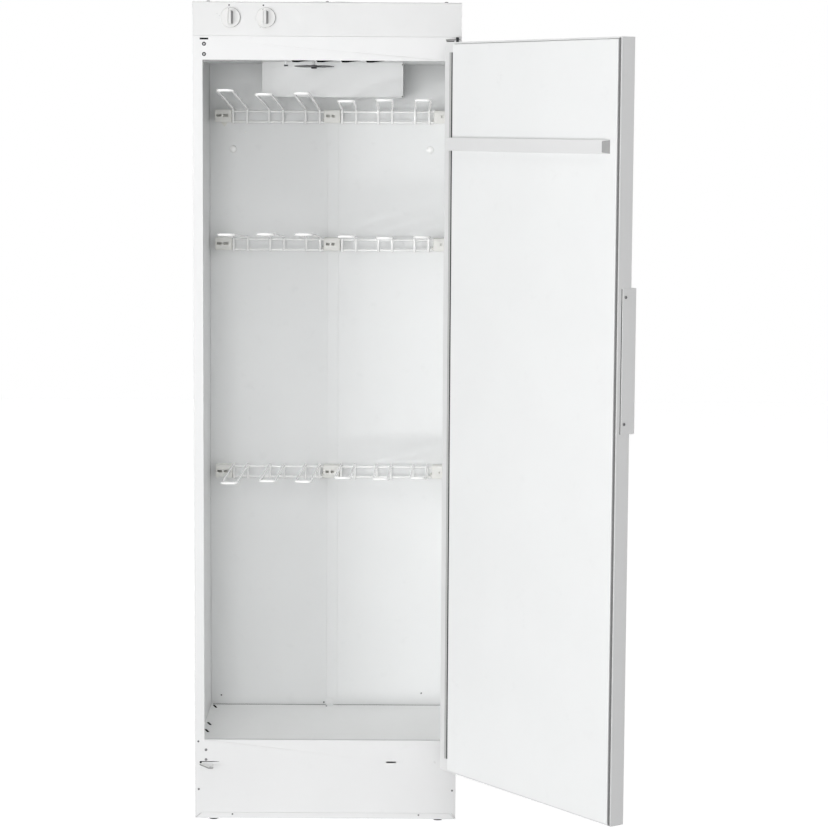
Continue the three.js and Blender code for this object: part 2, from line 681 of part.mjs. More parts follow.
function innerCeiling() {
  const ceiling = tray(CEILING, TRAY_FRONT, INNER_FLANGE);
  const through = [CEILING - 1, CEILING_TOP + 1];
  const slots = [];
  for (let i = 0; i < CEILING_SLOT_COUNT; i += 1) {
    const x = CEILING_SLOT_X + (i - (CEILING_SLOT_COUNT - 1) / 2) * CEILING_SLOT_PITCH;
    slots.push(slotTool(x, CEILING_SLOT_Y, CEILING_SLOT_LENGTH, CEILING_SLOT_WIDTH,
      CEILING_SLOT_TILT, ...through));
  }
  const hole = (x, y, radius, sides) => rod([x, y, through[0]], [x, y, through[1]], radius, sides);
  const heaterHoles = heaterEnds().map(({ x, y }) => hole(x, y, HEATER_TUBE / 2 + SEAM, 16));
  return cut(
    ceiling,
    ...slots,
    ...heaterHoles,
    hole(FAN_X, FAN_Y, HUB_DIAMETER / 2 + 2, 20),
    hole(BULB_X, BULB_Y, BULB_DIAMETER / 2 + SEAM, 16),
  );
}

// ---- heater, fan and controls -------------------------------------------------------------

function ductBox() {
  const z = [DUCT_BOTTOM, DUCT_TOP];
  const outer = block([DUCT_LEFT, DUCT_RIGHT], [DUCT_FRONT, DUCT_BACK], z);
  const inner = block([DUCT_LEFT + SHEET, DUCT_RIGHT - SHEET], [DUCT_FRONT + SHEET, DUCT_BACK - SHEET],
    [DUCT_BOTTOM + SHEET, DUCT_TOP + 1]);
  const middle = [(DUCT_LEFT + DUCT_RIGHT) / 2, (DUCT_FRONT + DUCT_BACK) / 2];
  const outlets = [-1, 0, 1].flatMap((column) => [-1, 0, 1].map((row) => slotTool(
    middle[0] + column * OUTLET_PITCH_X, middle[1] + row * OUTLET_PITCH_Y,
    OUTLET_LENGTH, OUTLET_WIDTH, 0, DUCT_BOTTOM - 1, DUCT_BOTTOM + SHEET + 1)));
  return cut(outer, inner, ...outlets);
}

function heaterElement() {
  const [start, end] = heaterEnds();
  const z = CEILING - HEATER_HANG;
  const above = CEILING_TOP + HEATER_BEND;
  const corners = [
    [start.x, start.y, above],
    [start.x, start.y, z],
    [end.x, start.y, z],
    [end.x, start.y + HEATER_RUN_PITCH, z],
    [start.x, start.y + HEATER_RUN_PITCH, z],
    [start.x, end.y, z],
    [end.x, end.y, z],
    [end.x, end.y, above],
  ];
  return wire(roundCorners(corners, HEATER_BEND, 3), HEATER_TUBE / 2, 10);
}

function fanMotor() {
  const seat = CEILING_TOP + SEAM;
  const top = seat + MOTOR_HEIGHT;
  const body = turned([
    [0, seat],
    [MOTOR_FLANGE / 2, seat],
    [MOTOR_FLANGE / 2, seat + MOTOR_FLANGE_THICKNESS],
    [MOTOR_DIAMETER / 2, seat + MOTOR_FLANGE_THICKNESS],
    [MOTOR_DIAMETER / 2, top - 4],
    [MOTOR_DIAMETER / 2 - 4, top],
    [0, top],
  ], FAN_X, FAN_Y);
  const bore = rod([FAN_X, FAN_Y, seat - 1], [FAN_X, FAN_Y, seat + FAN_SHAFT_LENGTH],
    FAN_SHAFT / 2 + SEAM, 16);
  return cut(body, bore);
}

function fanImpeller() {
  const middle = CEILING - FAN_HANG;
  const hub = rod([FAN_X, FAN_Y, middle - HUB_HEIGHT / 2], [FAN_X, FAN_Y, middle + HUB_HEIGHT / 2],
    HUB_DIAMETER / 2, 20);
  const shaft = rod([FAN_X, FAN_Y, middle], [FAN_X, FAN_Y, CEILING_TOP + FAN_SHAFT_LENGTH - 2],
    FAN_SHAFT / 2, 12);
  const blades = [];
  for (let i = 0; i < FAN_BLADES; i += 1) {
    const reach = FAN_DIAMETER / 2;
    const shape = new THREE.Shape();
    shape.moveTo(HUB_DIAMETER / 2 - 2, -4);
    shape.lineTo(reach * 0.75, -13);
    shape.quadraticCurveTo(reach, -10, reach, 0);
    shape.quadraticCurveTo(reach * 0.95, 9, reach * 0.7, 9);
    shape.lineTo(HUB_DIAMETER / 2 - 2, 4);
    const blade = extruded(shape, BLADE_THICKNESS, 2);
    blade.translate(0, 0, -BLADE_THICKNESS / 2);
    blade.rotateX(THREE.MathUtils.degToRad(BLADE_TILT));
    blade.rotateZ((2 * Math.PI * i) / FAN_BLADES);
    blade.translate(FAN_X, FAN_Y, middle);
    blades.push(solidOf(blade));
  }
  return join(hub, shaft, ...blades);
}

function controlUnit(x, depth) {
  const z = HEIGHT - KNOB_DROP;
  const half = UNIT_WIDTH / 2;
  const unit = block([x - half, x + half], [BEHIND_FRONT, BEHIND_FRONT + depth], [z - half, z + half]);
  const bore = rod([x, 0, z], [x, BEHIND_FRONT + KNOB_STEM_REACH + 1, z], KNOB_STEM / 2 + SEAM, 16);
  return cut(unit, bore);
}

function knob(x) {
  const z = HEIGHT - KNOB_DROP;
  const back = -SEAM;
  const front = back - KNOB_SKIRT;
  const skirt = rod([x, front, z], [x, back, z], KNOB_DIAMETER / 2, 36);
  const stem = rod([x, back - 1, z], [x, BEHIND_FRONT + KNOB_STEM_REACH, z], KNOB_STEM / 2, 12);
  const half = GRIP_WIDTH / 2;
  const round = GRIP_LENGTH / 2 - half;
  const shape = new THREE.Shape();
  shape.absarc(x, z + round, half, 0, Math.PI, false);
  shape.absarc(x, z - round, half, Math.PI, Math.PI * 2, false);
  return join(skirt, stem, prismBack(shape, front - GRIP_HEIGHT, front + 1));
}

function thermostatBulb() {
  return turned([
    [0, CEILING - BULB_HANG],
    [BULB_DIAMETER / 2 - 1.5, CEILING - BULB_HANG],
    [BULB_DIAMETER / 2, CEILING - BULB_HANG + 1.5],
    [BULB_DIAMETER / 2, CEILING_TOP + SEAM],
    [BULB_DIAMETER / 2 + 3, CEILING_TOP + SEAM],
    [BULB_DIAMETER / 2 + 3, CEILING_TOP + 6],
    [0, CEILING_TOP + 6],
  ], BULB_X, BULB_Y, 16);
}

function safetyCutout() {
  const z = CEILING_TOP + SEAM;
  return rod([CUTOUT_X, CUTOUT_Y, z], [CUTOUT_X, CUTOUT_Y, z + CUTOUT_HEIGHT], CUTOUT_DIAMETER / 2, 20);
}

function terminalBlock() {
  const [x, y, z] = TERMINAL_SIZE;
  const bottom = CEILING_TOP + SEAM;
  return block([TERMINAL_X - x / 2, TERMINAL_X + x / 2], [TERMINAL_Y - y / 2, TERMINAL_Y + y / 2],
    [bottom, bottom + z]);
}

function cableGland() {
  const z = HEIGHT - GLAND_DROP;
  const face = BACK_SHEET + SHEET + SEAM;
  const inner = BACK_SHEET - SEAM;
  const thread = rod([GLAND_X, inner - 8, z], [GLAND_X, face + 4, z], GLAND_THREAD / 2, 20);
  const outerNut = rod([GLAND_X, face, z], [GLAND_X, face + 14, z], GLAND_NUT / 2, 6);
  const innerNut = rod([GLAND_X, inner - 5, z], [GLAND_X, inner, z], GLAND_NUT / 2, 6);
  const bore = rod([GLAND_X, inner - 9, z], [GLAND_X, face + 15, z], GLAND_THREAD / 2 - 4, 16);
  return cut(join(thread, outerNut, innerNut), bore);
}

function doorSensor() {
  const [x, y, z] = SENSOR_SIZE;
  const bottom = OPENING_TOP + SENSOR_HEIGHT_OVER_OPENING;
  return block([SENSOR_X - x / 2, SENSOR_X + x / 2], [BEHIND_FRONT, BEHIND_FRONT + y],
    [bottom, bottom + z]);
}

function exhaustCollar() {
  const outer = COLLAR_DIAMETER / 2;
  const inner = outer - COLLAR_WALL;
  const flange = outer + 8;
  const under = COVER_UNDERSIDE - SEAM;
  return turned([
    [inner, COVER_UNDERSIDE - COLLAR_SINK],
    [outer, COVER_UNDERSIDE - COLLAR_SINK],
    [outer, under - COLLAR_WALL],
    [flange, under - COLLAR_WALL],
    [flange, under],
    [outer, under],
    [outer, HEIGHT + COLLAR_RISE],
    [inner, HEIGHT + COLLAR_RISE],
    [inner, COVER_UNDERSIDE - COLLAR_SINK],
  ], 0, COLLAR_Y, 28);
}

// ---- hanger racks -------------------------------------------------------------------------

function rack({ level, side, rise, lean }) {
  const sign = side === 'left' ? -1 : 1;
  const z = LEVEL_HEIGHTS[level];
  const lower = z - BAR_SPACING;
  const shift = side === 'left' ? LEFT_LOOP_SHIFT : RIGHT_LOOP_SHIFT;
  const inner = BRACKET_HALF + sign * CENTRE_BRACKET_SHIFT;
  const end = (from, height) => [sign * from, RACK_Y, height];
  const bar = (from, to, height) => rod(end(from, height), end(to, height), WIRE / 2, 8);
  const solids = [
    bar(inner - BAR_END_IN_BRACKET, OUTER_BRACKET_X + BAR_END_IN_BRACKET, z),
    bar(inner + RUNNING_GAP, OUTER_BRACKET_X - RUNNING_GAP, lower),
  ];
  const legY = RACK_Y - LEG_BEFORE_BAR;
  const half = LOOP_WIDTH / 2;
  for (let i = 0; i < LOOPS_PER_RACK; i += 1) {
    const x = sign * (FIRST_LOOP + LOOP_PITCH * i) + shift;
    const corners = [
      [x - half, legY, lower - WIRE / 2],
      [x - half, legY, z + BEND_OVER_BAR],
      [x - half - lean, TIP_FROM_FRONT, z + rise],
      [x + half - lean, TIP_FROM_FRONT, z + rise],
      [x + half, legY, z + BEND_OVER_BAR],
      [x + half, legY, lower - WIRE / 2],
    ];
    const tip = roundCorners(corners.slice(1, 5), TIP_BEND, 2);
    const bends = [
      ...roundCorners([corners[0], corners[1], tip[1]], ROOT_BEND, 1).slice(0, -1),
      ...tip.slice(1, -1),
      ...roundCorners([tip[tip.length - 2], corners[4], corners[5]], ROOT_BEND, 1).slice(1),
    ];
    solids.push(wire(bends, WIRE / 2));
  }
  return join(...solids);
}

function rackBracket(level, place) {
  const z = LEVEL_HEIGHTS[level];
  const height = [z - BAR_SPACING - BRACKET_BELOW, z + BRACKET_ABOVE];
  const x = {
    left: [-OUTER_BRACKET_X - OUTER_BRACKET_WIDTH, -OUTER_BRACKET_X],
    centre: [CENTRE_BRACKET_SHIFT - BRACKET_HALF, CENTRE_BRACKET_SHIFT + BRACKET_HALF],
    right: [OUTER_BRACKET_X, OUTER_BRACKET_X + OUTER_BRACKET_WIDTH],
  }[place];
  const wall = place === 'centre' ? STRIP_FRONT - SEAM : BACK_SHEET - SEAM;
  const plateFront = RACK_Y + SOCKET_RADIUS;
  const stop = [
    x[0] - (place === 'left' ? 0 : BRACKET_STOP),
    x[1] + (place === 'right' ? 0 : BRACKET_STOP),
  ];
  const body = block(x, [RACK_Y - BRACKET_NOSE, wall], height);
  const plate = block(stop, [plateFront, wall], height);
  const middle = (x[0] + x[1]) / 2;
  const pocketZ = z - BAR_SPACING / 2;
  const pockets = [-1, 1].map((s) => block(
    [middle + (s * POCKET_SPACING) / 2 - POCKET[0] / 2, middle + (s * POCKET_SPACING) / 2 + POCKET[0] / 2],
    [RACK_Y - BRACKET_NOSE - 1, RACK_Y - BRACKET_NOSE + POCKET[1]],
    [pocketZ - POCKET[2] / 2, pocketZ + POCKET[2] / 2],
  ));
  const reach = BAR_END_IN_BRACKET + SEAM;
  const sockets = [];
  if (place !== 'left') {
    sockets.push(rod([x[0] - 1, RACK_Y, z], [x[0] + reach, RACK_Y, z], SOCKET_RADIUS, 12));
  }
  if (place !== 'right') {
    sockets.push(rod([x[1] - reach, RACK_Y, z], [x[1] + 1, RACK_Y, z], SOCKET_RADIUS, 12));
  }
  return cut(join(body, plate), ...pockets, ...sockets);
}

// ---- door, drawn closed -------------------------------------------------------------------

function doorShell() {
  const x = [-DOOR_HALF, DOOR_HALF];
  const z = [DOOR_BOTTOM, DOOR_TOP];
  const outer = block(x, [OUTER_FACE, FLANGE_FACE], z);
  const hollow = block([x[0] + SHEET, x[1] - SHEET], [OUTER_FACE + SHEET, FLANGE_FACE - SHEET],
    [z[0] + SHEET, z[1] - SHEET]);
  const mouth = block([x[0] + FREE_FLANGE, x[1] - HINGE_FLANGE], [FLANGE_FACE - SHEET - 1, FLANGE_FACE + 1],
    [z[0] + END_FLANGE, z[1] - END_FLANGE]);
  const corners = [
    [z[0], z[0] + CORNER_PLATE],
    [z[1] - CORNER_PLATE, z[1]],
  ].map((ends) => block([LINER_RIGHT + SEAM, x[1]], [FLANGE_FACE - SHEET, FLANGE_FACE], ends));
  const radius = BUSH_DIAMETER / 2 + SEAM;
  const bushHoles = [
    [z[0] - 1, z[0] + SHEET + 1],
    [z[1] - SHEET - 1, z[1] + 1],
  ].map(([from, to]) => rod([PIVOT_X, PIVOT_Y, from], [PIVOT_X, PIVOT_Y, to], radius, 20));
  return cut(join(cut(outer, hollow, mouth), ...corners), ...bushHoles);
}

function doorLiner() {
  const x = [LINER_LEFT, LINER_RIGHT];
  const z = [DOOR_BOTTOM + END_FLANGE + SEAM, DOOR_TOP - END_FLANGE - SEAM];
  const outer = block(x, [LINER_FACE - LINER_FOLD, LINER_FACE], z);
  const inner = block([x[0] + SHEET, x[1] - SHEET], [LINER_FACE - LINER_FOLD - 1, LINER_FACE - SHEET],
    [z[0] + SHEET, z[1] - SHEET]);
  return cut(outer, inner);
}

function sealSpan() {
  const y1 = FLANGE_FACE - SHEET - SEAM;
  return [y1 - SEAL_RECESS - SEAL_DEPTH, y1];
}

// a soft ring inside the shell's rim, under its flange
function doorSeal() {
  const y = sealSpan();
  const outer = block([-DOOR_HALF + SHEET + SEAM, DOOR_HALF - HINGE_FLANGE + 2], y,
    [DOOR_BOTTOM + SHEET + SEAM, DOOR_TOP - SHEET - SEAM]);
  const inner = block(
    [LINER_LEFT - SEAM, DOOR_HALF - HINGE_FLANGE - SEAL_HINGE_WIDTH],
    [y[0] - 1, y[1] + 1],
    [DOOR_BOTTOM + END_FLANGE + SEAM / 2, DOOR_TOP - END_FLANGE - SEAM / 2],
  );
  const freeGap = block([LINER_LEFT - SEAM - SEAL_WIDTH, LINER_LEFT], [y[0] - 1, y[1] + 1],
    [DOOR_BOTTOM + END_FLANGE + SEAM / 2, DOOR_TOP - END_FLANGE - SEAM / 2]);
  return cut(outer, inner, freeGap);
}

function doorCore() {
  const gap = 2 * SEAM;
  const left = -DOOR_HALF + SHEET + gap;
  const back = sealSpan()[0] - gap;
  const core = block([left, PIVOT_X - BUSH_DIAMETER], [OUTER_FACE + SHEET + SEAM, back],
    [DOOR_BOTTOM + SHEET + gap, DOOR_TOP - SHEET - gap]);
  const [width, , length] = MAGNET_SIZE;
  const top = DOOR_TOP - MAGNET_DROP;
  const magnet = block([left - 1, left + width + SEAM], [OUTER_FACE, back + 1],
    [top - length - SEAM, top + SEAM]);
  return cut(core, magnet);
}

function catchMagnet() {
  const [width, depth, length] = MAGNET_SIZE;
  const left = -DOOR_HALF + SHEET + SEAM;
  const back = sealSpan()[0] - SEAM;
  const top = DOOR_TOP - MAGNET_DROP;
  return block([left, left + width], [back - depth, back], [top - length, top]);
}

function doorRail() {
  const x = [-DOOR_HALF + DOOR_RAIL_FREE_END, DOOR_HALF - DOOR_RAIL_HINGE_END];
  const y = [LINER_FACE + SEAM, LINER_FACE + DOOR_RAIL_PROUD];
  const z = [DOOR_RAIL_BOTTOM, DOOR_RAIL_BOTTOM + DOOR_RAIL_HEIGHT];
  const outer = block(x, y, z);
  const inner = block([x[0] + SHEET, x[1] - SHEET], [y[0] - 1, y[1] - SHEET], [z[0] + SHEET, z[1] - SHEET]);
  return cut(outer, inner);
}

function doorHandle() {
  const right = -DOOR_HALF - SEAM;
  const left = right - HANDLE_THICKNESS;
  const front = OUTER_FACE - HANDLE_PROUD;
  const z = [HANDLE_BOTTOM, HANDLE_BOTTOM + HANDLE_LENGTH];
  const plate = block([left, right], [front, FLANGE_FACE - HANDLE_INSET + DOOR_THICKNESS / 2], z);
  const lip = block([left, left + HANDLE_LIP], [front, front + HANDLE_THICKNESS], z);
  return join(plate, lip);
}

function hingeBush(end) {
  const face = end > 0 ? DOOR_TOP + BUSH_FLANGE : DOOR_BOTTOM - BUSH_FLANGE;
  const inside = face - end * (BUSH_HEIGHT + BUSH_FLANGE);
  const z = [Math.min(face, inside), Math.max(face, inside)];
  const body = rod([PIVOT_X, PIVOT_Y, z[0]], [PIVOT_X, PIVOT_Y, z[1]], BUSH_DIAMETER / 2, 20);
  const bore = rod([PIVOT_X, PIVOT_Y, z[0] - 1], [PIVOT_X, PIVOT_Y, z[1] + 1], PIN_DIAMETER / 2 + SEAM, 16);
  return cut(body, bore);
}

// ---- feet ---------------------------------------------------------------------------------

function foot({ x, y }) {
  const pad = turned([
    [0, -FOOT_HEIGHT],
    [FOOT_DIAMETER / 2 - 1, -FOOT_HEIGHT],
    [FOOT_DIAMETER / 2, -FOOT_HEIGHT + 1],
    [FOOT_DIAMETER / 2, PAN_FIELD_STEP - SEAM],
    [0, PAN_FIELD_STEP - SEAM],
  ], x, y, 20);
  const stud = rod([x, y, 0], [x, y, FOOT_STUD_RISE], FOOT_STUD / 2, 12);
  return join(pad, stud);
}

// ---- assembly -----------------------------------------------------------------------------

const cabinet = new THREE.Group();
cabinet.position.y = -DEPTH / 2;

cabinet.add(
  mesh('front_frame', frontFrame(), WHITE_PAINT),
  mesh('base_front_rail', baseFrontRail(), WHITE_PAINT),
  mesh('control_panel', controlPanel(), WHITE_PAINT),
  mesh('left_side_panel', sidePanel(-1), WHITE_PAINT),
  mesh('right_side_panel', sidePanel(1), WHITE_PAINT),
  mesh('top_cover', topCover(), WHITE_PAINT),
  mesh('base_pan', basePan(), ZINC),
  mesh('back_panel_left', backSheet(-1), INNER_PAINT),
  mesh('back_panel_right', backSheet(1), INNER_PAINT),
  mesh('back_centre_strip', backStrip(), INNER_PAINT),
  mesh('inner_floor', innerFloor(), INNER_PAINT),
  mesh('inner_ceiling', innerCeiling(), INNER_PAINT),
  mesh('duct_box', ductBox(), INNER_PAINT),
  mesh('heater_element', heaterElement(), STAINLESS),
  mesh('fan_motor', fanMotor(), ZINC),
  mesh('fan_impeller', fanImpeller(), DARK_PLASTIC),
  mesh('thermostat_bulb', thermostatBulb(), DARK_PLASTIC),
  mesh('safety_cutout', safetyCutout(), DARK_PLASTIC),
  mesh('timer_unit', controlUnit(TIMER_X, TIMER_DEPTH), DARK_PLASTIC),
  mesh('program_switch', controlUnit(PROGRAM_X, SWITCH_DEPTH), DARK_PLASTIC),
  mesh('timer_knob', knob(TIMER_X), WHITE_PLASTIC),
  mesh('program_knob', knob(PROGRAM_X), WHITE_PLASTIC),
  mesh('terminal_block', terminalBlock(), WHITE_PLASTIC),
  mesh('cable_gland', cableGland(), DARK_PLASTIC),
  mesh('door_sensor', doorSensor(), DARK_PLASTIC),
  mesh('exhaust_collar', exhaustCollar(), ZINC),
);

for (const plate of HINGE_PLATES) {
  cabinet.add(mesh(plate.node, hingePlate(plate), ZINC));
}
cabinet.add(
  mesh('upper_hinge_pin', hingePin(DOOR_TOP - PIN_IN_BUSH, UPPER_PLATE + PLATE_THICKNESS + 2), ZINC),
  mesh('lower_hinge_pin', hingePin(LOWER_PLATE - 2, DOOR_BOTTOM + PIN_IN_BUSH), ZINC),
);

for (const level of Object.keys(LEVEL_HEIGHTS)) {
  for (const place of ['left', 'centre', 'right']) {
    cabinet.add(mesh(`${level}_bracket_${place}`, rackBracket(level, place), BRACKET_PLASTIC));
  }
}
for (const spec of RACKS) {
  cabinet.add(mesh(`${spec.level}_rack_${spec.side}`, rack(spec), WHITE_COATING));
}
for (const place of FOOT_PLACES) {
  cabinet.add(mesh(place.node, foot(place), DARK_PLASTIC));
}

// the door turns about the hinge pins
const hinge = new THREE.Group();
hinge.position.set(PIVOT_X, PIVOT_Y, 0);
hinge.rotation.z = THREE.MathUtils.degToRad(DOOR_OPEN_ANGLE);
const door = new THREE.Group();
door.position.set(-PIVOT_X, -PIVOT_Y, 0);
door.add(
  mesh('door_shell', doorShell(), WHITE_PAINT),
  mesh('door_liner', doorLiner(), INNER_PAINT),
  mesh('door_seal', doorSeal(), GREY_RUBBER),
  mesh('door_core', doorCore(), FOAM),
  mesh('door_rail', doorRail(), WHITE_PAINT),
  mesh('door_handle', doorHandle(), WHITE_PAINT),
  mesh('upper_hinge_bush', hingeBush(1), WHITE_PLASTIC),
  mesh('lower_hinge_bush', hingeBush(-1), WHITE_PLASTIC),
  mesh('catch_magnet', catchMagnet(), MAGNET),
);
hinge.add(door);
cabinet.add(hinge);

export default cabinet;
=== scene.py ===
"""Drying cabinet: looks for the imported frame, in metres, in the frame's own axes."""

import math
import random

import bmesh
import bpy
from mathutils import Matrix, Vector


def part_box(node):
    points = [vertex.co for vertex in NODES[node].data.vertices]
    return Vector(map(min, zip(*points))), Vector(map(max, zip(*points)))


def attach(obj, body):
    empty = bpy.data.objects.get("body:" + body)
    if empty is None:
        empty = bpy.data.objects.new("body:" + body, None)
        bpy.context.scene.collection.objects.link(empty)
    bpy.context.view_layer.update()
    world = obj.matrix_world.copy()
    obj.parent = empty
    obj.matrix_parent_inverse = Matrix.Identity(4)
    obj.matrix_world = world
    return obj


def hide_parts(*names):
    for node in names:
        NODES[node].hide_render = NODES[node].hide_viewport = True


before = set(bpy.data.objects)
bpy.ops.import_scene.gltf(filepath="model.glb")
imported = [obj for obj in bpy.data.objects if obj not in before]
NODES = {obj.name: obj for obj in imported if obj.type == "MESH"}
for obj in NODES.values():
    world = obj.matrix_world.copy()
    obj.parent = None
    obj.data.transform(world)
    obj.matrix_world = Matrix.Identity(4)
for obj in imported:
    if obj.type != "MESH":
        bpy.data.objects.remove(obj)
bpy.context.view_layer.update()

# ---- dimensions, in millimetres; y is the distance behind the front frame's plane ----

HEIGHT = 1845
DEPTH = 477
SHEET = 1.2
FLOOR = 157.5
CEILING = 1719
BACK_FACE = 474.3
STRIP_FRONT = 472.8
GROUND = -10

LOUVRE_COUNT = 4
LOUVRE_MIDDLE = 23.8
LOUVRE_Y = 45
LOUVRE_DROP = 5.5
LOUVRE_PITCH = 55
LOUVRE_LENGTH = 60
LOUVRE_SLANT = 35  # degrees
FAN_PLACE = (-33.2, 120, 1706.9)
FAN_REACH = 46
BLADES = 7
BULB_PLACE = (-98, 150, 1708.9)
DUCT = {"left": -155, "right": 168, "front": 200, "bottom": 1641.2}

KNOB_Z = 1810.3
TIMER_X = -213.3
PROGRAM_X = -135.6
KNOB_GAP = 0.3  # between the skirt and the plate
POINTER_RADIUS = 19.6
GRIP_ROOT = 4.6
SKIRT_BEVEL = 20.9  # from here outwards the skirt's rim is rounded
# The hinges' screw holes; the upper two on the left are unused and plugged
HOLE_X = 272
LOW_HOLES = (136.7, 159.2)
HIGH_HOLES = (1752.3, 1729.8)

DOOR_BOTTOM = 127.5
DOOR_TOP = 1757.3
LINER_FACE = -1.3
LINER_RIGHT = 263
HINGE_FLANGE_EDGE = 277.4
HINGE_GROOVE_SHIFT = 3.7
PIVOT = (287.5, -30)
DOOR_ANGLE = 126.2
TOWEL_BAR_SLANT = 9
DOOR_RAIL = {"left": -263, "bottom": 1521.5, "top": 1549.9, "face": 10.7}
HANDLE = {"left": -298.8, "bottom": 949, "top": 1249}

WIRE = 5
COATING = 0.6
LEG_BEND = 7
TIP_BEND = 11
RACK_Y = 446
BAR_SPACING = 24.7
LOOP_WIDTH = 33.5
TIP_Y = 36
LEVELS = {"upper": 1606.4, "middle": 1301.6, "lower": 751.5}
# Each loop's middle at the bars, and its tip's middle and height; no two are bent quite alike
RACKS = {
    ("upper", "left"): ((-48.6, -57.9, 1645.3), (-135.6, -142.9, 1642.8), (-221.4, -229, 1651.2)),
    ("upper", "right"): ((38.5, 41.3, 1628.7), (125, 127.6, 1631.4), (213.1, 213.5, 1631.9)),
    ("middle", "left"): ((-46.8, -53.8, 1331.2), (-133.4, -140.1, 1331.2), (-221, -227.4, 1329.7)),
    ("middle", "right"): ((39.5, 42.7, 1327.4), (126.3, 128.5, 1324.5), (213.4, 212.4, 1326.8)),
    ("lower", "left"): ((-47.4, -52.9, 771.9), (-133.2, -134.5, 772.6), (-220.9, -221, 767.5)),
    ("lower", "right"): ((38.7, 35.8, 780.9), (125.8, 122.5, 778.7), (213.4, 207.6, 781.5)),
}
BRACKET_HALF = 19.5
OUTER_BRACKET = 241.5
OUTER_BRACKET_WIDTH = 40
BRACKET_NOSE = 10
POCKET_DEPTH = 22
CENTRE_SHIFT = -2

FOOT_X = 257
FOOT_DEPTHS = {"front": 37, "back": 440}

RIGHT, BACK, UP, FRONT = (1, 0, 0), (0, 1, 0), (0, 0, 1), (0, -1, 0)
TO_FRAME = Matrix.Scale(0.001, 4) @ Matrix.Translation((0, -DEPTH / 2, 0))
TO_DOOR = (
    TO_FRAME
    @ Matrix.Translation((*PIVOT, 0))
    @ Matrix.Rotation(math.radians(DOOR_ANGLE), 4, "Z")
    @ Matrix.Translation((-PIVOT[0], -PIVOT[1], 0))
)


def add_object(name, data):
    item = bpy.data.objects.new(name, data)
    bpy.context.collection.objects.link(item)
    return item


def add_mesh(name, bm):
    data = bpy.data.meshes.new(name)
    bm.to_mesh(data)
    bm.free()
    return add_object(name, data)


# ---- camera ----

CAMERA_PLACE = (188.05, -5773.4, 1585.2)
CAMERA_TILT = 6.456  # degrees down
CAMERA_ROLL = 0.357
CAMERA_YAW = 0.09
CAMERA_LENS = 112.52


def make_camera():
    data = bpy.data.cameras.new("camera")
    data.sensor_width = 36
    data.lens = CAMERA_LENS
    data.clip_end = 60
    camera = add_object("camera", data)
    camera.matrix_world = (
        Matrix.Translation(TO_FRAME @ Vector(CAMERA_PLACE))
        @ Matrix.Rotation(math.radians(-CAMERA_YAW), 4, "Z")
        @ Matrix.Rotation(math.radians(90 - CAMERA_TILT), 4, "X")
        @ Matrix.Rotation(math.radians(CAMERA_ROLL), 4, "Z")
    )
    bpy.context.scene.camera = camera


make_camera()

# ---- materials ----


class Nodes:
    """A material's node tree, written in few lines."""

    def __init__(self, name):
        self.material = bpy.data.materials.new(name)
        self.material.use_nodes = True
        self.tree = self.material.node_tree
        self.shader = self.tree.nodes["Principled BSDF"]
        self.place = self.add("ShaderNodeTexCoord").outputs["Object"]

    def add(self, kind, **values):
        node = self.tree.nodes.new(kind)
        for key, value in values.items():
            if hasattr(node, key):
                setattr(node, key, value)
            else:
                node.inputs[key].default_value = value
        return node

    def link(self, out, into):
        self.tree.links.new(out, into)

    def noise(self, scale, detail=3, roughness=0.5, stretch=None):
        node = self.add("ShaderNodeTexNoise", Scale=scale, Detail=detail, Roughness=roughness)
        where = self.place
        if stretch:
            mapping = self.add("ShaderNodeMapping", Scale=stretch)
            self.link(where, mapping.inputs["Vector"])
            where = mapping.outputs["Vector"]
        self.link(where, node.inputs["Vector"])
        return node.outputs["Fac"]

    def ramp(self, fac, low, high, out_low=0, out_high=1):
        limits = {"From Min": low, "From Max": high, "To Min": out_low, "To Max": out_high}
        node = self.add("ShaderNodeMapRange", clamp=True, **limits)
        self.link(fac, node.inputs["Value"])
        return node.outputs["Result"]

    def mix(self, fac, a, b):
        node = self.add("ShaderNodeMix", data_type="RGBA")
        self.link(fac, node.inputs[0])
        for socket, value in ((node.inputs[6], a), (node.inputs[7], b)):
            if isinstance(value, tuple):
                socket.default_value = (*value, 1)
            else:
                self.link(value, socket)
        return node.outputs[2]

    def bump(self, height, strength, distance, before=None):
        node = self.add("ShaderNodeBump", Strength=strength, Distance=distance)
        self.link(height, node.inputs["Height"])
        if before is not None:
            self.link(before, node.inputs["Normal"])
        return node.outputs["Normal"]

    def set(self, **values):
        for key, value in values.items():
            socket = self.shader.inputs[key.replace("_", " ")]
            if isinstance(value, bpy.types.NodeSocket):
                self.link(value, socket)
            else:
                socket.default_value = (*value, 1) if isinstance(value, tuple) else value
        return self.material


def shade(colour, factor):
    return tuple(channel * factor for channel in colour)


def paint(name, colour, roughness, peel=0.06, marks=0.97, uneven=1, wave=0.05):
    """Baked paint: orange peel, slightly uneven gloss and faint rubbed patches."""
    n = Nodes(name)
    cloud = n.ramp(n.noise(7, 4), 0.35, 0.7)
    tone = n.mix(cloud, colour, shade(colour, 0.985))
    rubbed = n.ramp(n.noise(26, 6, 0.65), 0.6, 0.75)
    tone = n.mix(rubbed, tone, shade(colour, marks))
    gloss = n.ramp(n.noise(34, 5, 0.6), 0.3, 0.75, roughness - 0.04 * uneven, roughness + 0.07 * uneven)
    fine = n.bump(n.noise(620, 2), peel, 0.0006)
    normal = n.bump(n.noise(5, 2), wave, 0.004, fine)
    return n.set(Base_Color=tone, Roughness=gloss, Normal=normal, IOR=1.5)


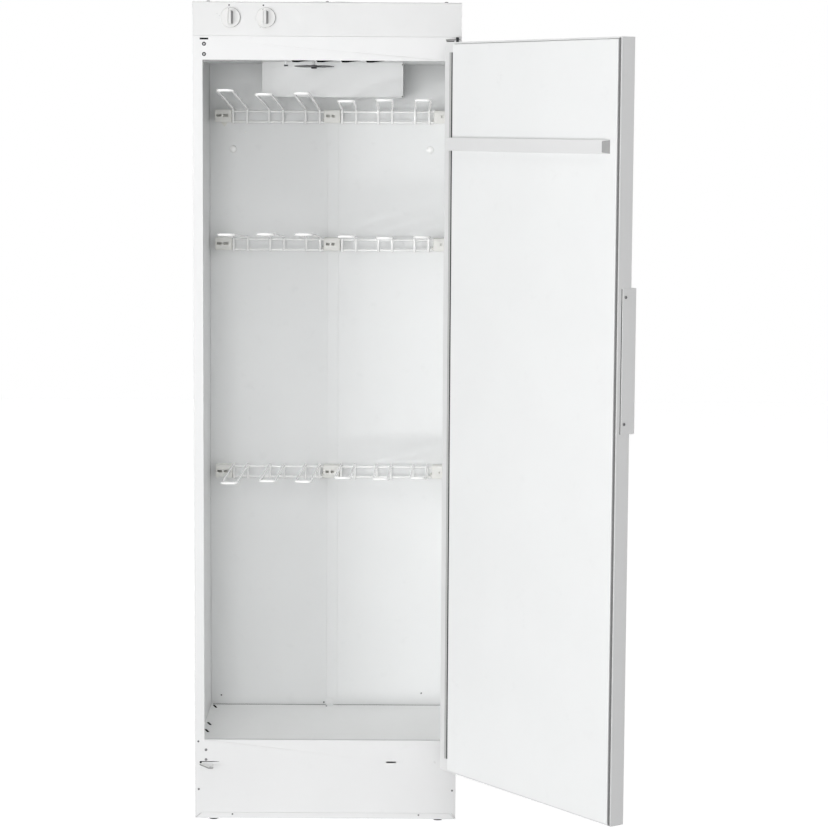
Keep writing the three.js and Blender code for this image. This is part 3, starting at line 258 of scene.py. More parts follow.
def plastic(name, colour, roughness, grain=0.12, mottle=0.95, shine=0.5):
    """Moulded plastic: spark-eroded grain, slight flow shades and scuffs."""
    n = Nodes(name)
    flow = n.ramp(n.noise(60, 4, 0.6), 0.35, 0.7)
    tone = n.mix(flow, colour, shade(colour, mottle))
    speck = n.ramp(n.noise(900, 2), 0.62, 0.75)
    tone = n.mix(speck, tone, shade(colour, 0.93))
    gloss = n.ramp(n.noise(180, 4), 0.3, 0.7, roughness - 0.05, roughness + 0.08)
    normal = n.bump(n.noise(2400, 2), grain, 0.0002)
    return n.set(Base_Color=tone, Roughness=gloss, Normal=normal, Specular_IOR_Level=shine)


def metal(name, colour, roughness, stretch=(1, 1, 1), spangle=0.88):
    """Plated or rolled steel: fine rolling lines, cloudy plating and dull spots."""
    n = Nodes(name)
    cloud = n.ramp(n.noise(90, 5, 0.6), 0.3, 0.7)
    tone = n.mix(cloud, colour, shade(colour, spangle))
    lines = n.noise(260, 4, 0.6, stretch)
    gloss = n.ramp(lines, 0.3, 0.7, roughness - 0.06, roughness + 0.1)
    normal = n.bump(lines, 0.12, 0.0003)
    return n.set(Base_Color=tone, Roughness=gloss, Normal=normal, Metallic=1)


def rubber(name, colour, dusty=0.25, shine=0.5):
    """Matt extruded rubber with dust in its pores."""
    n = Nodes(name)
    dust = n.ramp(n.noise(140, 5, 0.7), 0.45, 0.75)
    tone = n.mix(dust, colour, tuple(c + (0.35 - c) * dusty for c in colour))
    gloss = n.ramp(n.noise(320, 3), 0.3, 0.7, 0.66, 0.82)
    normal = n.bump(n.noise(1400, 3), 0.25, 0.0003)
    return n.set(Base_Color=tone, Roughness=gloss, Normal=normal, Specular_IOR_Level=shine)


def coating():
    """Glossy dipped coating of the wires, a little thicker in places."""
    n = Nodes("wire_coating")
    colour = (0.96, 0.96, 0.955)
    cloud = n.ramp(n.noise(70, 4), 0.35, 0.7)
    tone = n.mix(cloud, colour, shade(colour, 0.97))
    gloss = n.ramp(n.noise(210, 3), 0.3, 0.7, 0.12, 0.24)
    normal = n.bump(n.noise(160, 2), 0.12, 0.0008)
    return n.set(Base_Color=tone, Roughness=gloss, Normal=normal, Coat_Weight=0.5)


def fibre():
    """Pressed wool filling of the door."""
    n = Nodes("core_fibre")
    strands = n.noise(900, 6, 0.8, (1, 0.15, 1))
    tone = n.mix(n.ramp(strands, 0.35, 0.65), (0.62, 0.56, 0.4), (0.78, 0.73, 0.58))
    normal = n.bump(strands, 0.6, 0.002)
    return n.set(Base_Color=tone, Roughness=0.95, Normal=normal)


def heat_steel():
    """Heater tube, tinted by heat towards straw and blue."""
    n = Nodes("heater_tube")
    tint = n.ramp(n.noise(38, 3), 0.3, 0.7)
    tone = n.mix(tint, (0.34, 0.3, 0.24), (0.22, 0.23, 0.27))
    gloss = n.ramp(n.noise(400, 3), 0.3, 0.7, 0.32, 0.5)
    normal = n.bump(n.noise(700, 3), 0.15, 0.0003)
    return n.set(Base_Color=tone, Roughness=gloss, Normal=normal, Metallic=1)


OUTER_PAINT = paint("outer_paint", (0.742, 0.745, 0.747), 0.42)
# A lighter copy of the white paint for the side sheets: painted light.
SIDE_PAINTED_LIGHT = paint("side_painted_light", (0.82, 0.825, 0.825), 0.42)
# A darker copy of the front's white paint for the control plate: painted shade.
PANEL_PAINTED_SHADE = paint("panel_painted_shade", (0.694, 0.697, 0.697), 0.4)
INNER_PAINT = paint("inner_paint", (0.85, 0.86, 0.86), 0.48, marks=0.955)
DUCT_PAINT = paint("duct_paint", (0.68, 0.687, 0.687), 0.45)
# A brighter copy of the white paint for the floor tray: painted light.
FLOOR_PAINTED_LIGHT = paint("floor_painted_light", (0.935, 0.94, 0.935), 0.3, peel=0.01, marks=0.99, uneven=0.2, wave=0)
DOOR_PAINT = paint("door_liner_paint", (0.85, 0.86, 0.86), 0.45, marks=0.965)
HINGE_PAINT = paint("hinge_paint", (0.86, 0.865, 0.86), 0.34)
CAP_PLASTIC = plastic("cap_plastic", (0.94, 0.94, 0.93), 0.22, grain=0.05, mottle=0.985)
END_PLASTIC = plastic("end_plastic", (0.5, 0.5, 0.495), 0.5, mottle=0.94)
FAN_PLASTIC = plastic("fan_plastic", (0.14, 0.142, 0.145), 0.5, mottle=0.85, shine=0.3)
# Grey for painted shade on the knobs' right side.
KNOB_PAINTED_SHADE = plastic("knob_painted_shade", (0.3, 0.3, 0.3), 0.5, shine=0.3)
# A darker copy of the white plastic for the knobs: painted shade.
KNOB_SHADED_PLASTIC = plastic("knob_shaded_plastic", (0.705, 0.705, 0.7), 0.42, grain=0.06, mottle=0.985)
WHITE_PLASTIC = plastic("white_plastic", (0.8, 0.8, 0.79), 0.4, mottle=0.975)
BRACKET_PLASTIC = plastic("bracket_plastic", (0.83, 0.828, 0.795), 0.45, mottle=0.965)
DARK_PLASTIC = plastic("dark_plastic", (0.022, 0.024, 0.028), 0.45, mottle=0.8, shine=0.25)
PRINT = plastic("grey_print", (0.03, 0.03, 0.032), 0.6, shine=0.1)
WIRE_COATING = coating()
ZINC = metal("zinc_plate", (0.6, 0.61, 0.62), 0.36, (1, 1, 8))
SCREW_STEEL = metal("screw_steel", (0.2, 0.2, 0.205), 0.4, spangle=0.75)
HEATER_STEEL = heat_steel()
SEAL_RUBBER = rubber("seal_rubber", (0.5, 0.5, 0.495))
# Near-black rubber for the seal's channel and the handle's edge strip; its darkness is painted shade.
RUBBER_PAINTED_SHADE = rubber("rubber_painted_shade", (0.03, 0.031, 0.032), dusty=0.06, shine=0.2)
EDGE_RUBBER = rubber("edge_rubber", (0.16, 0.16, 0.162), dusty=0.15, shine=0.3)
BLACK_RUBBER = rubber("foot_rubber", (0.025, 0.025, 0.027), dusty=0.1, shine=0.25)
CORE_FIBRE = fibre()
FERRITE = metal("magnet_ferrite", (0.06, 0.06, 0.065), 0.55, spangle=0.8)
# Near-black stand-in for the shade in slots, holes, recesses, pockets and joins: painted shadow.
PAINTED_GAP_SHADOW = plastic("gap_shadow", (0.01, 0.01, 0.011), 0.8, shine=0)
FAINT_LINE = plastic("faint_line", (0.42, 0.42, 0.42), 0.6)
# Mid grey for painted shade on the hinge plates' edges, the header's line and the towel bar's end.
PAINTED_SHADE_GREY = plastic("painted_grey_shade", (0.3, 0.3, 0.3), 0.55, mottle=0.97)

# ---- mesh helpers ----

SHARP_ANGLE = 35  # degrees; edges sharper than this are rolled


def make_piece(name, bm, material, nodes=(), body="cabinet", smooth=32):
    """Turns a bmesh in millimetres into a piece that rides on a body; nodes are what it replaces."""
    bmesh.ops.recalc_face_normals(bm, faces=bm.faces)
    bm.transform(TO_DOOR if body == "door" else TO_FRAME)
    return finish_piece(add_mesh(name, bm), body, material, nodes, smooth)


def finish_piece(piece, body, material, nodes, smooth):
    piece.data.materials.clear()
    materials = material if isinstance(material, list) else [material]
    for entry in materials:
        piece.data.materials.append(entry)
    piece.data.set_sharp_from_angle(angle=math.radians(smooth))
    for face in piece.data.polygons:
        face.use_smooth = True
    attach(piece, body)
    if nodes:
        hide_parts(*nodes)
    return piece


def dress(node, name, material, bevel, body="cabinet", move=None):
    """A copy of a CAD node's mesh with rolled edges; move shifts the door's points as drawn closed."""
    bm = bmesh.new()
    bm.from_mesh(NODES[node].data)
    bmesh.ops.remove_doubles(bm, verts=bm.verts, dist=2e-6)
    if move:
        to_drawn = TO_DOOR.inverted()
        for vert in bm.verts:
            vert.co = TO_DOOR @ Vector(move(to_drawn @ vert.co))
    bmesh.ops.join_triangles(
        bm, faces=bm.faces, angle_face_threshold=math.radians(0.5), angle_shape_threshold=math.radians(60)
    )
    bmesh.ops.recalc_face_normals(bm, faces=bm.faces)
    piece = finish_piece(add_mesh(name, bm), body, material, (node,), SHARP_ANGLE)
    if bevel:
        round_edges(piece, bevel)
    return piece


def round_edges(piece, width):
    """Rounds the sharp edges; width is in millimetres."""
    edge = piece.modifiers.new("rolled_edges", "BEVEL")
    edge.width = width / 1000
    edge.segments = 2
    edge.limit_method = "ANGLE"
    edge.angle_limit = math.radians(SHARP_ANGLE)
    edge.use_clamp_overlap = True
    edge.face_strength_mode = "FSTR_ALL"
    edge.miter_outer = "MITER_ARC"
    normals = piece.modifiers.new("even_faces", "WEIGHTED_NORMAL")
    normals.use_face_influence = True
    normals.keep_sharp = True


def ring(bm, centre, radius, axis_u, axis_v, sides):
    turns = [2 * math.pi * k / sides for k in range(sides)]
    return [
        bm.verts.new(centre + axis_u * (radius * math.cos(a)) + axis_v * (radius * math.sin(a)))
        for a in turns
    ]


def bridge(bm, a, b):
    count = len(a)
    for k in range(count):
        bm.faces.new((a[k], a[(k + 1) % count], b[(k + 1) % count], b[k]))


def loft(bm, rows):
    """Joins rows of points one after another and closes both ends."""
    for a, b in zip(rows, rows[1:]):
        bridge(bm, a, b)
    bm.faces.new(rows[0])
    bm.faces.new(rows[-1])


def prism(bm, outline, axis, ends):
    """A bar of one cross-section; outline holds points without the axis' own coordinate."""
    loft(bm, [[bm.verts.new((*at[:axis], end, *at[axis:])) for at in outline] for end in ends])


def lathe(bm, profile, origin, axis, sides=32):
    """Turns (radius, distance along axis) points round an axis through origin."""
    axis = Vector(axis).normalized()
    u = axis.orthogonal().normalized()
    v = axis.cross(u)
    origin = Vector(origin)
    rings = []
    for radius, along in profile:
        if radius < 1e-6:
            rings.append([bm.verts.new(origin + axis * along)])
        else:
            rings.append(ring(bm, origin + axis * along, radius, u, v, sides))
    for a, b in zip(rings, rings[1:]):
        if len(a) == 1:
            for k in range(sides):
                bm.faces.new((a[0], b[k], b[(k + 1) % sides]))
        elif len(b) == 1:
            for k in range(sides):
                bm.faces.new((a[k], a[(k + 1) % sides], b[0]))
        else:
            bridge(bm, a, b)
    for end in (rings[0], rings[-1]):
        if len(end) > 1:
            bm.faces.new(end)


def round_corners(corners, radius, steps):
    """Corner points with a round bend put in at each inner corner."""
    points = [Vector(c) for c in corners]
    path = [points[0]]
    for last, here, following in zip(points, points[1:], points[2:]):
        to_last = (last - here).normalized()
        to_next = (following - here).normalized()
        half = to_last.angle(to_next) / 2
        inset = radius / math.tan(half)
        centre = here + (to_last + to_next).normalized() * (radius / math.sin(half))
        start = here + to_last * inset - centre
        end = here + to_next * inset - centre
        sweep = start.angle(end)
        for k in range(steps + 1):
            a = sweep * k / steps
            first, second = math.sin(sweep - a) / math.sin(sweep), math.sin(a) / math.sin(sweep)
            path.append(centre + start * first + end * second)
    path.append(points[-1])
    return path


DOME_HEIGHT = 0.6  # of a rod's end, over its radius


def tube(bm, path, radius, sides=16, round_ends=True):
    """A round rod swept along a path, with domed ends."""
    points = [Vector(p) for p in path]
    steps = [(b - a).normalized() for a, b in zip(points, points[1:])]
    u = steps[0].orthogonal().normalized()
    rings = []
    for i, point in enumerate(points):
        if i == 0:
            tangent = steps[0]
        elif i == len(points) - 1:
            tangent = steps[-1]
        else:
            tangent = (steps[i - 1] + steps[i]).normalized()
        u = (u - tangent * u.dot(tangent)).normalized()
        v = tangent.cross(u)
        widen = 1
        if 0 < i < len(points) - 1:
            widen = 1 / max(math.cos(steps[i - 1].angle(steps[i]) / 2), 0.5)
        rings.append((point, tangent, u.copy(), v, radius * (1 + (widen - 1) * 0.5)))
    rows = []

    def dome(section, way, angles):
        point, tangent, u0, v0, _ = section
        for angle in angles:
            a = math.radians(angle)
            centre = point + tangent * radius * math.sin(a) * DOME_HEIGHT * way
            rows.append(ring(bm, centre, radius * math.cos(a), u0, v0, sides))

    if round_ends:
        dome(rings[0], -1, (80, 50, 25))
    for point, _, u1, v1, wide in rings:
        rows.append(ring(bm, point, wide, u1, v1, sides))
    if round_ends:
        dome(rings[-1], 1, (25, 50, 80))
    loft(bm, rows)


def box(bm, x, y, z):
    corners = [bm.verts.new((px, py, pz)) for pz in z for py in y for px in x]
    for face in ((0, 1, 3, 2), (4, 5, 7, 6), (0, 1, 5, 4), (2, 3, 7, 6), (0, 2, 6, 4), (1, 3, 7, 5)):
        bm.faces.new([corners[k] for k in face])


# A screw head's height over its radius. Behind the closed door heads are flat: the door's inner
# sheet stops 1.3 mm in front of the plane that they sit on.
PAN_HEAD = 0.62
FLAT_HEAD = 0.34


def screw(bm, at, axis, radius, turn, tall):
    """A pan-head screw with a cross recess painted near-black as its shade; at is where its head sits, tall
    its height over its radius.
    """
    axis = Vector(axis).normalized()
    u = Matrix.Rotation(math.radians(turn), 3, axis) @ axis.orthogonal().normalized()
    v = axis.cross(u)
    at = Vector(at)
    height = radius * tall
    sides = 24
    rows = [
        ring(bm, at + axis * height * h, radius * r, u, v, sides)
        for r, h in ((1, -0.15), (1, 0.35), (0.95, 0.62), (0.82, 0.86), (0.64, 1))
    ]
    for a, b in zip(rows, rows[1:]):
        bridge(bm, a, b)
    bm.faces.new(rows[0])
    long, thin = radius * 0.56, radius * 0.17
    outline = [
        (long, -thin), (long, thin), (thin, thin), (thin, long), (-thin, long), (-thin, thin),
        (-long, thin), (-long, -thin), (-thin, -thin), (-thin, -long), (thin, -long), (thin, -thin),
    ]
    top = [bm.verts.new(at + axis * height + u * a + v * b) for a, b in outline]
    low = [bm.verts.new(at + axis * height * 0.3 + u * a * 0.6 + v * b * 0.6) for a, b in outline]
    edges = [bm.edges.get((rows[-1][k], rows[-1][(k + 1) % sides])) for k in range(sides)]
    edges += [bm.edges.new((top[k], top[(k + 1) % 12])) for k in range(12)]
    bmesh.ops.triangle_fill(bm, edges=edges, use_beauty=True)
    count = len(bm.faces)
    bridge(bm, top, low)
    bm.faces.new(low)
    bm.faces.ensure_lookup_table()
    # The recess's faces take the second material: painted shade.
    for face in bm.faces[count:]:
        face.material_index = 1


def screws(name, places, material=SCREW_STEEL, body="cabinet", tall=PAN_HEAD):
    """Several screws as one piece; each place is (point, axis, head radius)."""
    bm = bmesh.new()
    spread = random.Random(name)
    for at, axis, radius in places:
        screw(bm, at, axis, radius, spread.uniform(0, 90), tall)
    return make_piece(name, bm, [material, PAINTED_GAP_SHADOW], body=body, smooth=28)


# ---- body of the cabinet ----


def build_body():
    """Sheets and cases. The hinge plates' upright edges carry painted shade where they stand out in front.
    """
    dress("front_frame", "front_sheet", OUTER_PAINT, 0.2)
    dress("base_front_rail", "bottom_rail", OUTER_PAINT, 0.4)
    dress("control_panel", "control_plate", PANEL_PAINTED_SHADE, 0.2)
    dress("left_side_panel", "side_sheet_left", SIDE_PAINTED_LIGHT, 0.5)
    dress("right_side_panel", "side_sheet_right", SIDE_PAINTED_LIGHT, 0.5)
    dress("top_cover", "top_sheet", OUTER_PAINT, 0.5)
    dress("base_pan", "bottom_pan", ZINC, 0.5)
    dress("back_panel_left", "back_sheet_left", INNER_PAINT, 0.3)
    dress("back_panel_right", "back_sheet_right", INNER_PAINT, 0.3)
    dress("back_centre_strip", "joint_strip", INNER_PAINT, 0.35)
    dress("inner_floor", "floor_tray", FLOOR_PAINTED_LIGHT, 0.4)
    dress("inner_ceiling", "ceiling_tray", INNER_PAINT, 0.4)
    dress("duct_box", "heater_box", DUCT_PAINT, 0.5)
    dress("exhaust_collar", "outlet_collar", ZINC, 0.3)
    dress("fan_motor", "motor_case", ZINC, 0.8)
    dress("safety_cutout", "cutout_case", DARK_PLASTIC, 0.6)
    dress("timer_unit", "timer_case", DARK_PLASTIC, 0.8)
    dress("program_switch", "switch_case", DARK_PLASTIC, 0.8)
    dress("terminal_block", "terminal_case", WHITE_PLASTIC, 0.8)
    dress("cable_gland", "gland_nut", DARK_PLASTIC, 0.6)
    dress("door_sensor", "sensor_case", DARK_PLASTIC, 0.6)
    for node in ("upper_hinge_plate", "lower_hinge_plate", "spare_hinge_plate"):
        piece = dress(node, node.replace("plate", "bracket"), HINGE_PAINT, 0.4)
        # Upright faces in front of the frame take the grey: painted shade.
        piece.data.materials.append(PAINTED_SHADE_GREY)
        for face in piece.data.polygons:
            outside = face.center.y * 1000 < -DEPTH / 2 - 1.5
            face.material_index = int(outside and abs(face.normal.z) < 0.3)
    for node in ("upper_hinge_pin", "lower_hinge_pin"):
        dress(node, node.replace("pin", "pivot"), DARK_PLASTIC, 0.4)


def build_bulb():
    """The thermostat's small dark capsule on a slim stem."""
    x, y, z = BULB_PLACE
    bm = bmesh.new()
    tube(bm, [(x - 3.6, y, z), (x, y, z), (x + 3.6, y, z)], 1.65, 20)
    lathe(bm, [(1.9, -0.4), (2.1, 0), (2.1, 1.6), (1.9, 2)], (x - 3.4, y, z), RIGHT, 20)
    make_piece("bulb_capsule", bm, DARK_PLASTIC, ("thermostat_bulb",))
    bm = bmesh.new()
    lathe(bm, [(1.1, 1.4), (1.1, 8.4), (4.5, 8.8), (4.8, 9.6), (4.8, 10)], (x, y, z), UP, 24)
    make_piece("bulb_stem", bm, INNER_PAINT)


def build_louvres():
    """A shallow hood under each of the ceiling's slots, open to the front, with a near-black plug in its
    mouth as painted shade.
    """
    slant = math.radians(LOUVRE_SLANT)
    along = Vector((math.cos(slant), math.sin(slant), 0))
    across = Vector((-along.y, along.x, 0))
    steps = 14
    hoods, mouths = bmesh.new(), bmesh.new()
    for k in range(LOUVRE_COUNT):
        offset = (k - (LOUVRE_COUNT - 1) / 2) * LOUVRE_PITCH
        middle = Vector((LOUVRE_MIDDLE + offset, LOUVRE_Y, CEILING))
        rows, plugs = [], []
        for i in range(steps + 1):
            t = i / steps
            at = middle + along * (LOUVRE_LENGTH * (t - 0.52))
            drop = 0.3 + LOUVRE_DROP * min(1, t / 0.03) * (1 - max(0, (t - 0.34) / 0.66) ** 0.8)
            lip = at - across * 6 + Vector((0, 0, -drop))
            heel = at + across * 6.5
            curve = []
            for j in range(5):
                a = j / 4
                point = lip.lerp(heel, a)
                point.z = CEILING - drop * math.cos(a * math.pi / 2) ** 0.8
                curve.append(point)
            top = [point + Vector((0, 0, 0.35)) for point in curve]
            rows.append([hoods.verts.new(p) for p in curve + top[::-1]])
            inner = [point.lerp(heel, 0.05) + Vector((0, 0, 0.36)) for point in curve]
            roof = [Vector((point.x, point.y, CEILING + 1)) for point in inner]
            plugs.append([mouths.verts.new(p) for p in inner + roof[::-1]])
        loft(hoods, rows)
        loft(mouths, plugs)
    make_piece("ceiling_louvres", hoods, INNER_PAINT, smooth=50)
    # Painted shade: near-black plugs in the hoods' mouths.
    make_piece("louvre_mouths", mouths, PAINTED_GAP_SHADOW)


def build_duct_trim():
    """Folded lip under the heater box's front, and near-black dots painted as shade at its folded corners.
    """
    bottom = DUCT["bottom"]
    bm = bmesh.new()
    y = DUCT["front"]
    profile = [
        (y + 0.1, bottom + 0.6), (y + 0.1, bottom - 2), (y + 0.35, bottom - 2.6), (y + 0.9, bottom - 2.8),
        (y + 16, bottom - 2.8), (y + 16, bottom - 1.8), (y + 1.6, bottom - 1.8), (y + 1.2, bottom - 1.4),
        (y + 1.2, bottom + 0.6),
    ]
    prism(bm, profile, 0, (DUCT["left"] + 0.6, DUCT["right"] - 0.6))
    make_piece("duct_lip", bm, DUCT_PAINT, smooth=50)
    bm = bmesh.new()
    # Painted shade: near-black dots at the two right corners.
    for x, z in ((DUCT["right"] - 1.7, 1713.1), (DUCT["right"] - 1.9, 1640.9)):
        lathe(bm, [(1.5, 0.3), (1.5, -0.06), (1.3, -0.12)], (x, y, z), BACK, 16)
    make_piece("duct_corner_shade_dots", bm, PAINTED_GAP_SHADOW)


def build_fan():
    """Hub with a groove, and blades that flatten towards their rounded tips."""
    x, y, z = FAN_PLACE
    bm = bmesh.new()
    hub = [
        (0, -5.6), (5, -5.6), (6.2, -5.1), (6.6, -4.2), (6.6, -1.7), (5.6, -1.3), (5.6, -0.5), (6.6, -0.1),
        (6.6, 2.2), (6.2, 2.9), (2.4, 2.9), (2, 3.4), (0, 3.4),
    ]
    lathe(bm, hub, (x, y, z), UP, 40)
    make_piece("fan_hub", bm, DARK_PLASTIC, body="fan_impeller", smooth=40)
    bm = bmesh.new()
    shape = [
        (0.3, -8), (0.5, -10.5), (0.72, -12), (0.88, -10.5), (0.97, -6.5), (1, 0), (0.97, 5),
        (0.86, 8.2), (0.7, 9), (0.5, 8.2), (0.3, 6.5),
    ]
    outline = [(4, -4), *((FAN_REACH * share, width) for share, width in shape), (4, 4)]
    for k in range(BLADES):
        blade = bmesh.new()
        rows = []
        for height, grow in ((-0.8, -0.5), (-0.5, 0), (0.5, 0), (0.8, -0.5)):
            row = []
            for px, py in outline:
                size = math.hypot(px, py)
                point = Vector((px + grow * px / size, py + grow * py / size, height))
                twist = math.radians(15 - 13 * (px / FAN_REACH) ** 1.5)
                row.append(blade.verts.new(Matrix.Rotation(twist, 3, "X") @ point))
            rows.append(row)
        loft(blade, rows)
        bmesh.ops.triangulate(blade, faces=[f for f in blade.faces if len(f.verts) > 4])
        turn = Matrix.Rotation(2 * math.pi * (k + 0.25) / BLADES, 4, "Z")
        blade.transform(Matrix.Translation((x, y, z)) @ turn)
        data = bpy.data.meshes.new("blade")
        blade.to_mesh(data)
        blade.free()
        bm.from_mesh(data)
        bpy.data.meshes.remove(data)
    make_piece("fan_wheel", bm, FAN_PLASTIC, ("fan_impeller",), body="fan_impeller", smooth=40)
    bm = bmesh.new()
    lathe(bm, [(1.7, 3.2), (1.7, 33.5), (1.5, 34)], (x, y, z), UP, 20)
    make_piece("fan_shaft", bm, INNER_PAINT, body="fan_impeller")


def build_heater():
    """One tube, bent in the heater box, with both ends up through the ceiling."""
    start = Vector((-103.5, 260, 0))
    end = Vector((116.5, 348, 0))
    z, above = CEILING - 38, CEILING + SHEET + 14
    corners = [
        (start.x, start.y, above), (start.x, start.y, z), (end.x, start.y, z),
        (end.x, start.y + 44, z), (start.x, start.y + 44, z), (start.x, end.y, z),
        (end.x, end.y, z), (end.x, end.y, above),
    ]
    bm = bmesh.new()
    tube(bm, round_corners(corners, 14, 10), 4.2, 20, round_ends=False)
    make_piece("heater_tube_run", bm, HEATER_STEEL, ("heater_element",))


def knob_mesh(x):
    """Skirt with a stepped rim, and a wedge-shaped grip with round ends."""
    bm = bmesh.new()
    profile = [
        (0, -15), (2.8, -15), (3, -0.5), (19.6, -0.4), (20, -0.1), (20, 0.5), (21.8, 0.7),
        (22.1, 1.1), (22.1, 2.6), (21.9, 3.3), (21.4, 3.8), (20.6, 4), (19.8, 3.9), (18.8, 3.7),
        (14, 3.5), (0, 3.4),
    ]
    lathe(bm, profile, (x, -KNOB_GAP, KNOB_Z), FRONT, 72)
    rows = []
    for half, length, out in (
        (6.9, 15.6, 3.3), (6.5, 15.4, 3.8), (6.1, 15.3, 4.6), (3, 15, 15.4), (2.6, 14.8, 16.6),
        (2, 14.4, 17.2), (1, 13.6, 17.4),
    ):
        row = []
        for k in range(40):
            a = 2 * math.pi * k / 40
            end = length - half * 0.55
            dz = end if math.sin(a) >= 0 else -end
            z = KNOB_Z + dz + half * 0.55 * math.sin(a)
            row.append(bm.verts.new((x + half * math.cos(a), -KNOB_GAP - out, z)))
        rows.append(row)
    loft(bm, rows)
    return bm


def build_knobs():
    """Dials whose grip flank and rim carry painted shade on the right, and a dot as the pointer."""
    for node, x, angle in (("timer_knob", TIMER_X, 102), ("program_knob", PROGRAM_X, 108)):
        piece = make_piece(
            node.replace("knob", "dial"), knob_mesh(x), KNOB_SHADED_PLASTIC, (node,), body=node, smooth=40
        )
        piece.data.materials.append(KNOB_PAINTED_SHADE)
        # Painted shade: the grip's right flank and the rim's right side take the grey.
        for face in piece.data.polygons:
            at = face.center * 1000
            grip = at.y < -DEPTH / 2 - GRIP_ROOT and abs(at.z - KNOB_Z) < 15
            flank = grip and at.x > x + 2 and face.normal.x > 0.6
            rim = math.hypot(at.x - x, at.z - KNOB_Z) > SKIRT_BEVEL and face.normal.x > 0.3
            face.material_index = int(flank or rim)
        a = math.radians(angle)
        bm = bmesh.new()
        dot(bm, x + POINTER_RADIUS * math.cos(a), KNOB_Z + POINTER_RADIUS * math.sin(a), 1.4, y=-4.05)
        make_piece(node.replace("knob", "pointer"), bm, PRINT, body=node)


def dot(bm, x, z, radius, y=0):
    lathe(bm, [(radius, -0.1), (radius, 0.06), (radius * 0.9, 0.09)], (x, y, z), FRONT, 16)


def dash(bm, x, z, length, thickness, degrees):
    along = Vector((math.cos(math.radians(degrees)), 0, math.sin(math.radians(degrees))))
    across = Vector((-along.z, 0, along.x))
    rows = []
    for y in (0.02, -0.08):
        row = []
        for a, b in ((-1, -1), (1, -1), (1, 1), (-1, 1)):
            at = Vector((x, y, z)) + along * (a * length / 2) + across * (b * thickness / 2)
            row.append(bm.verts.new(at))
        rows.append(row)
    loft(bm, rows)


def build_scale_marks():
    """Printed dots and short strokes round the knobs."""
    dots, strokes = bmesh.new(), bmesh.new()
    for x, z in ((-216.5, 1837.2), (-140.7, 1837)):
        dot(dots, x, z, 1.8)
    dash(dots, -135.4, 1788.8, 4.6, 1.5, 4)
    marks = ((-243, 1818.3, 2, 150), (-237.7, 1814, 1.8, 171), (-147.7, 1788.5, 2.6, 20))
    for x, z, length, degrees in marks:
        dash(strokes, x, z, length, 1.1, degrees)
    make_piece("dial_dots", dots, PRINT)
    make_piece("dial_marks", strokes, END_PLASTIC)


def build_hinge_screws():
    places = [((-HOLE_X, 0, z), FRONT, 3.1) for z in LOW_HOLES]
    places += [((HOLE_X, 0, z), FRONT, 3.3) for z in HIGH_HOLES + LOW_HOLES]
    screws("hinge_screws", places, tall=FLAT_HEAD)


def build_hole_plugs():
    """Rings and plugs in the two unused hinge holes; the near-black ring stands in for the shade round each
    plug: painted shade.
    """
    caps, rings = bmesh.new(), bmesh.new()
    for z in HIGH_HOLES:
        at = (-HOLE_X, 0, z)
        lathe(rings, [(1.7, 0.3), (4.3, 0.3), (4.5, 0), (4.2, -0.2), (1.9, -0.2)], at, BACK, 32)
        lathe(caps, [(2.1, 0.2), (2.1, -0.3), (1.7, -0.7), (0, -0.85)], at, BACK, 24)
    make_piece("unused_hole_rings", rings, DARK_PLASTIC)
    make_piece("unused_hole_plugs", caps, END_PLASTIC, smooth=45)


def build_body_screws():
    """Screws of the front, the chamber's wall, the top and the back."""
    places = ((-289.5, 178.7, 2.3), (-288.9, 67.6, 2.3), (289.2, 67.2, 2.3), (287.6, 179.1, 2.3))
    places += ((-212, 9.6, 2), (213, 9.6, 2))
    screws("front_screws", [((x, 0, z), FRONT, radius) for x, z, radius in places])
    screws("painted_screw", [((247.7, 0, 132.6), FRONT, 3.2)], OUTER_PAINT, tall=FLAT_HEAD)
    places = ((-271.5, 180), (219.9, 187.2), (-19.5, 163.5))
    screws("wall_screws", [((x, BACK_FACE, z), FRONT, 2) for x, z in places])
    screws("cover_screws", [((x, y, HEIGHT), UP, 4) for x in (-263.5, 0, 263.5) for y in (16, 452)])
    heights = range(60, 1840, 220)
    screws("back_screws", [((x, BACK_FACE + SHEET, z), BACK, 3.4) for x in (-9, 9) for z in heights])
    screws("rear_edge_screws", [((x, DEPTH, z), BACK, 3.2) for x in (-290, 290) for z in heights])


def build_floor_shade_lines():
    """Painted shade: near-black lines where the floor meets the side walls and the back wall, and a painted
    shadow by the joint strip's tab.
    """
    bm = bmesh.new()
    for side in (-1, 1):
        x = sorted((side * 268, side * 294))
        box(bm, x, (168, 472), (FLOOR - 4.2, FLOOR - 2.4))
    # Painted shadow beside the joint strip's tab.
    box(bm, (-14.5, -11), (STRIP_FRONT - 17.2, STRIP_FRONT - 16), (FLOOR, FLOOR + 1.4))
    outline = [(-292, 470.8), (-180, 471.2), (270, 472.2), (292, 474), (-292, 474)]
    prism(bm, outline, 2, (FLOOR - 0.2, FLOOR + 0.2))
    make_piece("floor_shade_lines", bm, PAINTED_GAP_SHADOW)


def build_header_shadow_line():
    """Painted shadow: the wedge-shaped dark line under the header and beside the jamb at the opening's upper
    left corner.
    """
    bm = bmesh.new()
    header = [(-275.3, 1717.6), (-275.3, 1714.5), (-230, 1714.7), (-190, 1715.6)]
    header += [(-120, 1717.4), (-120, 1717.6)]
    jamb = [(-275.4, 1716), (-275.4, 1650), (-273.9, 1716)]
    for outline in (header, jamb):
        prism(bm, outline, 1, (2, 3))
    make_piece("header_shadow_line", bm, PAINTED_SHADE_GREY)


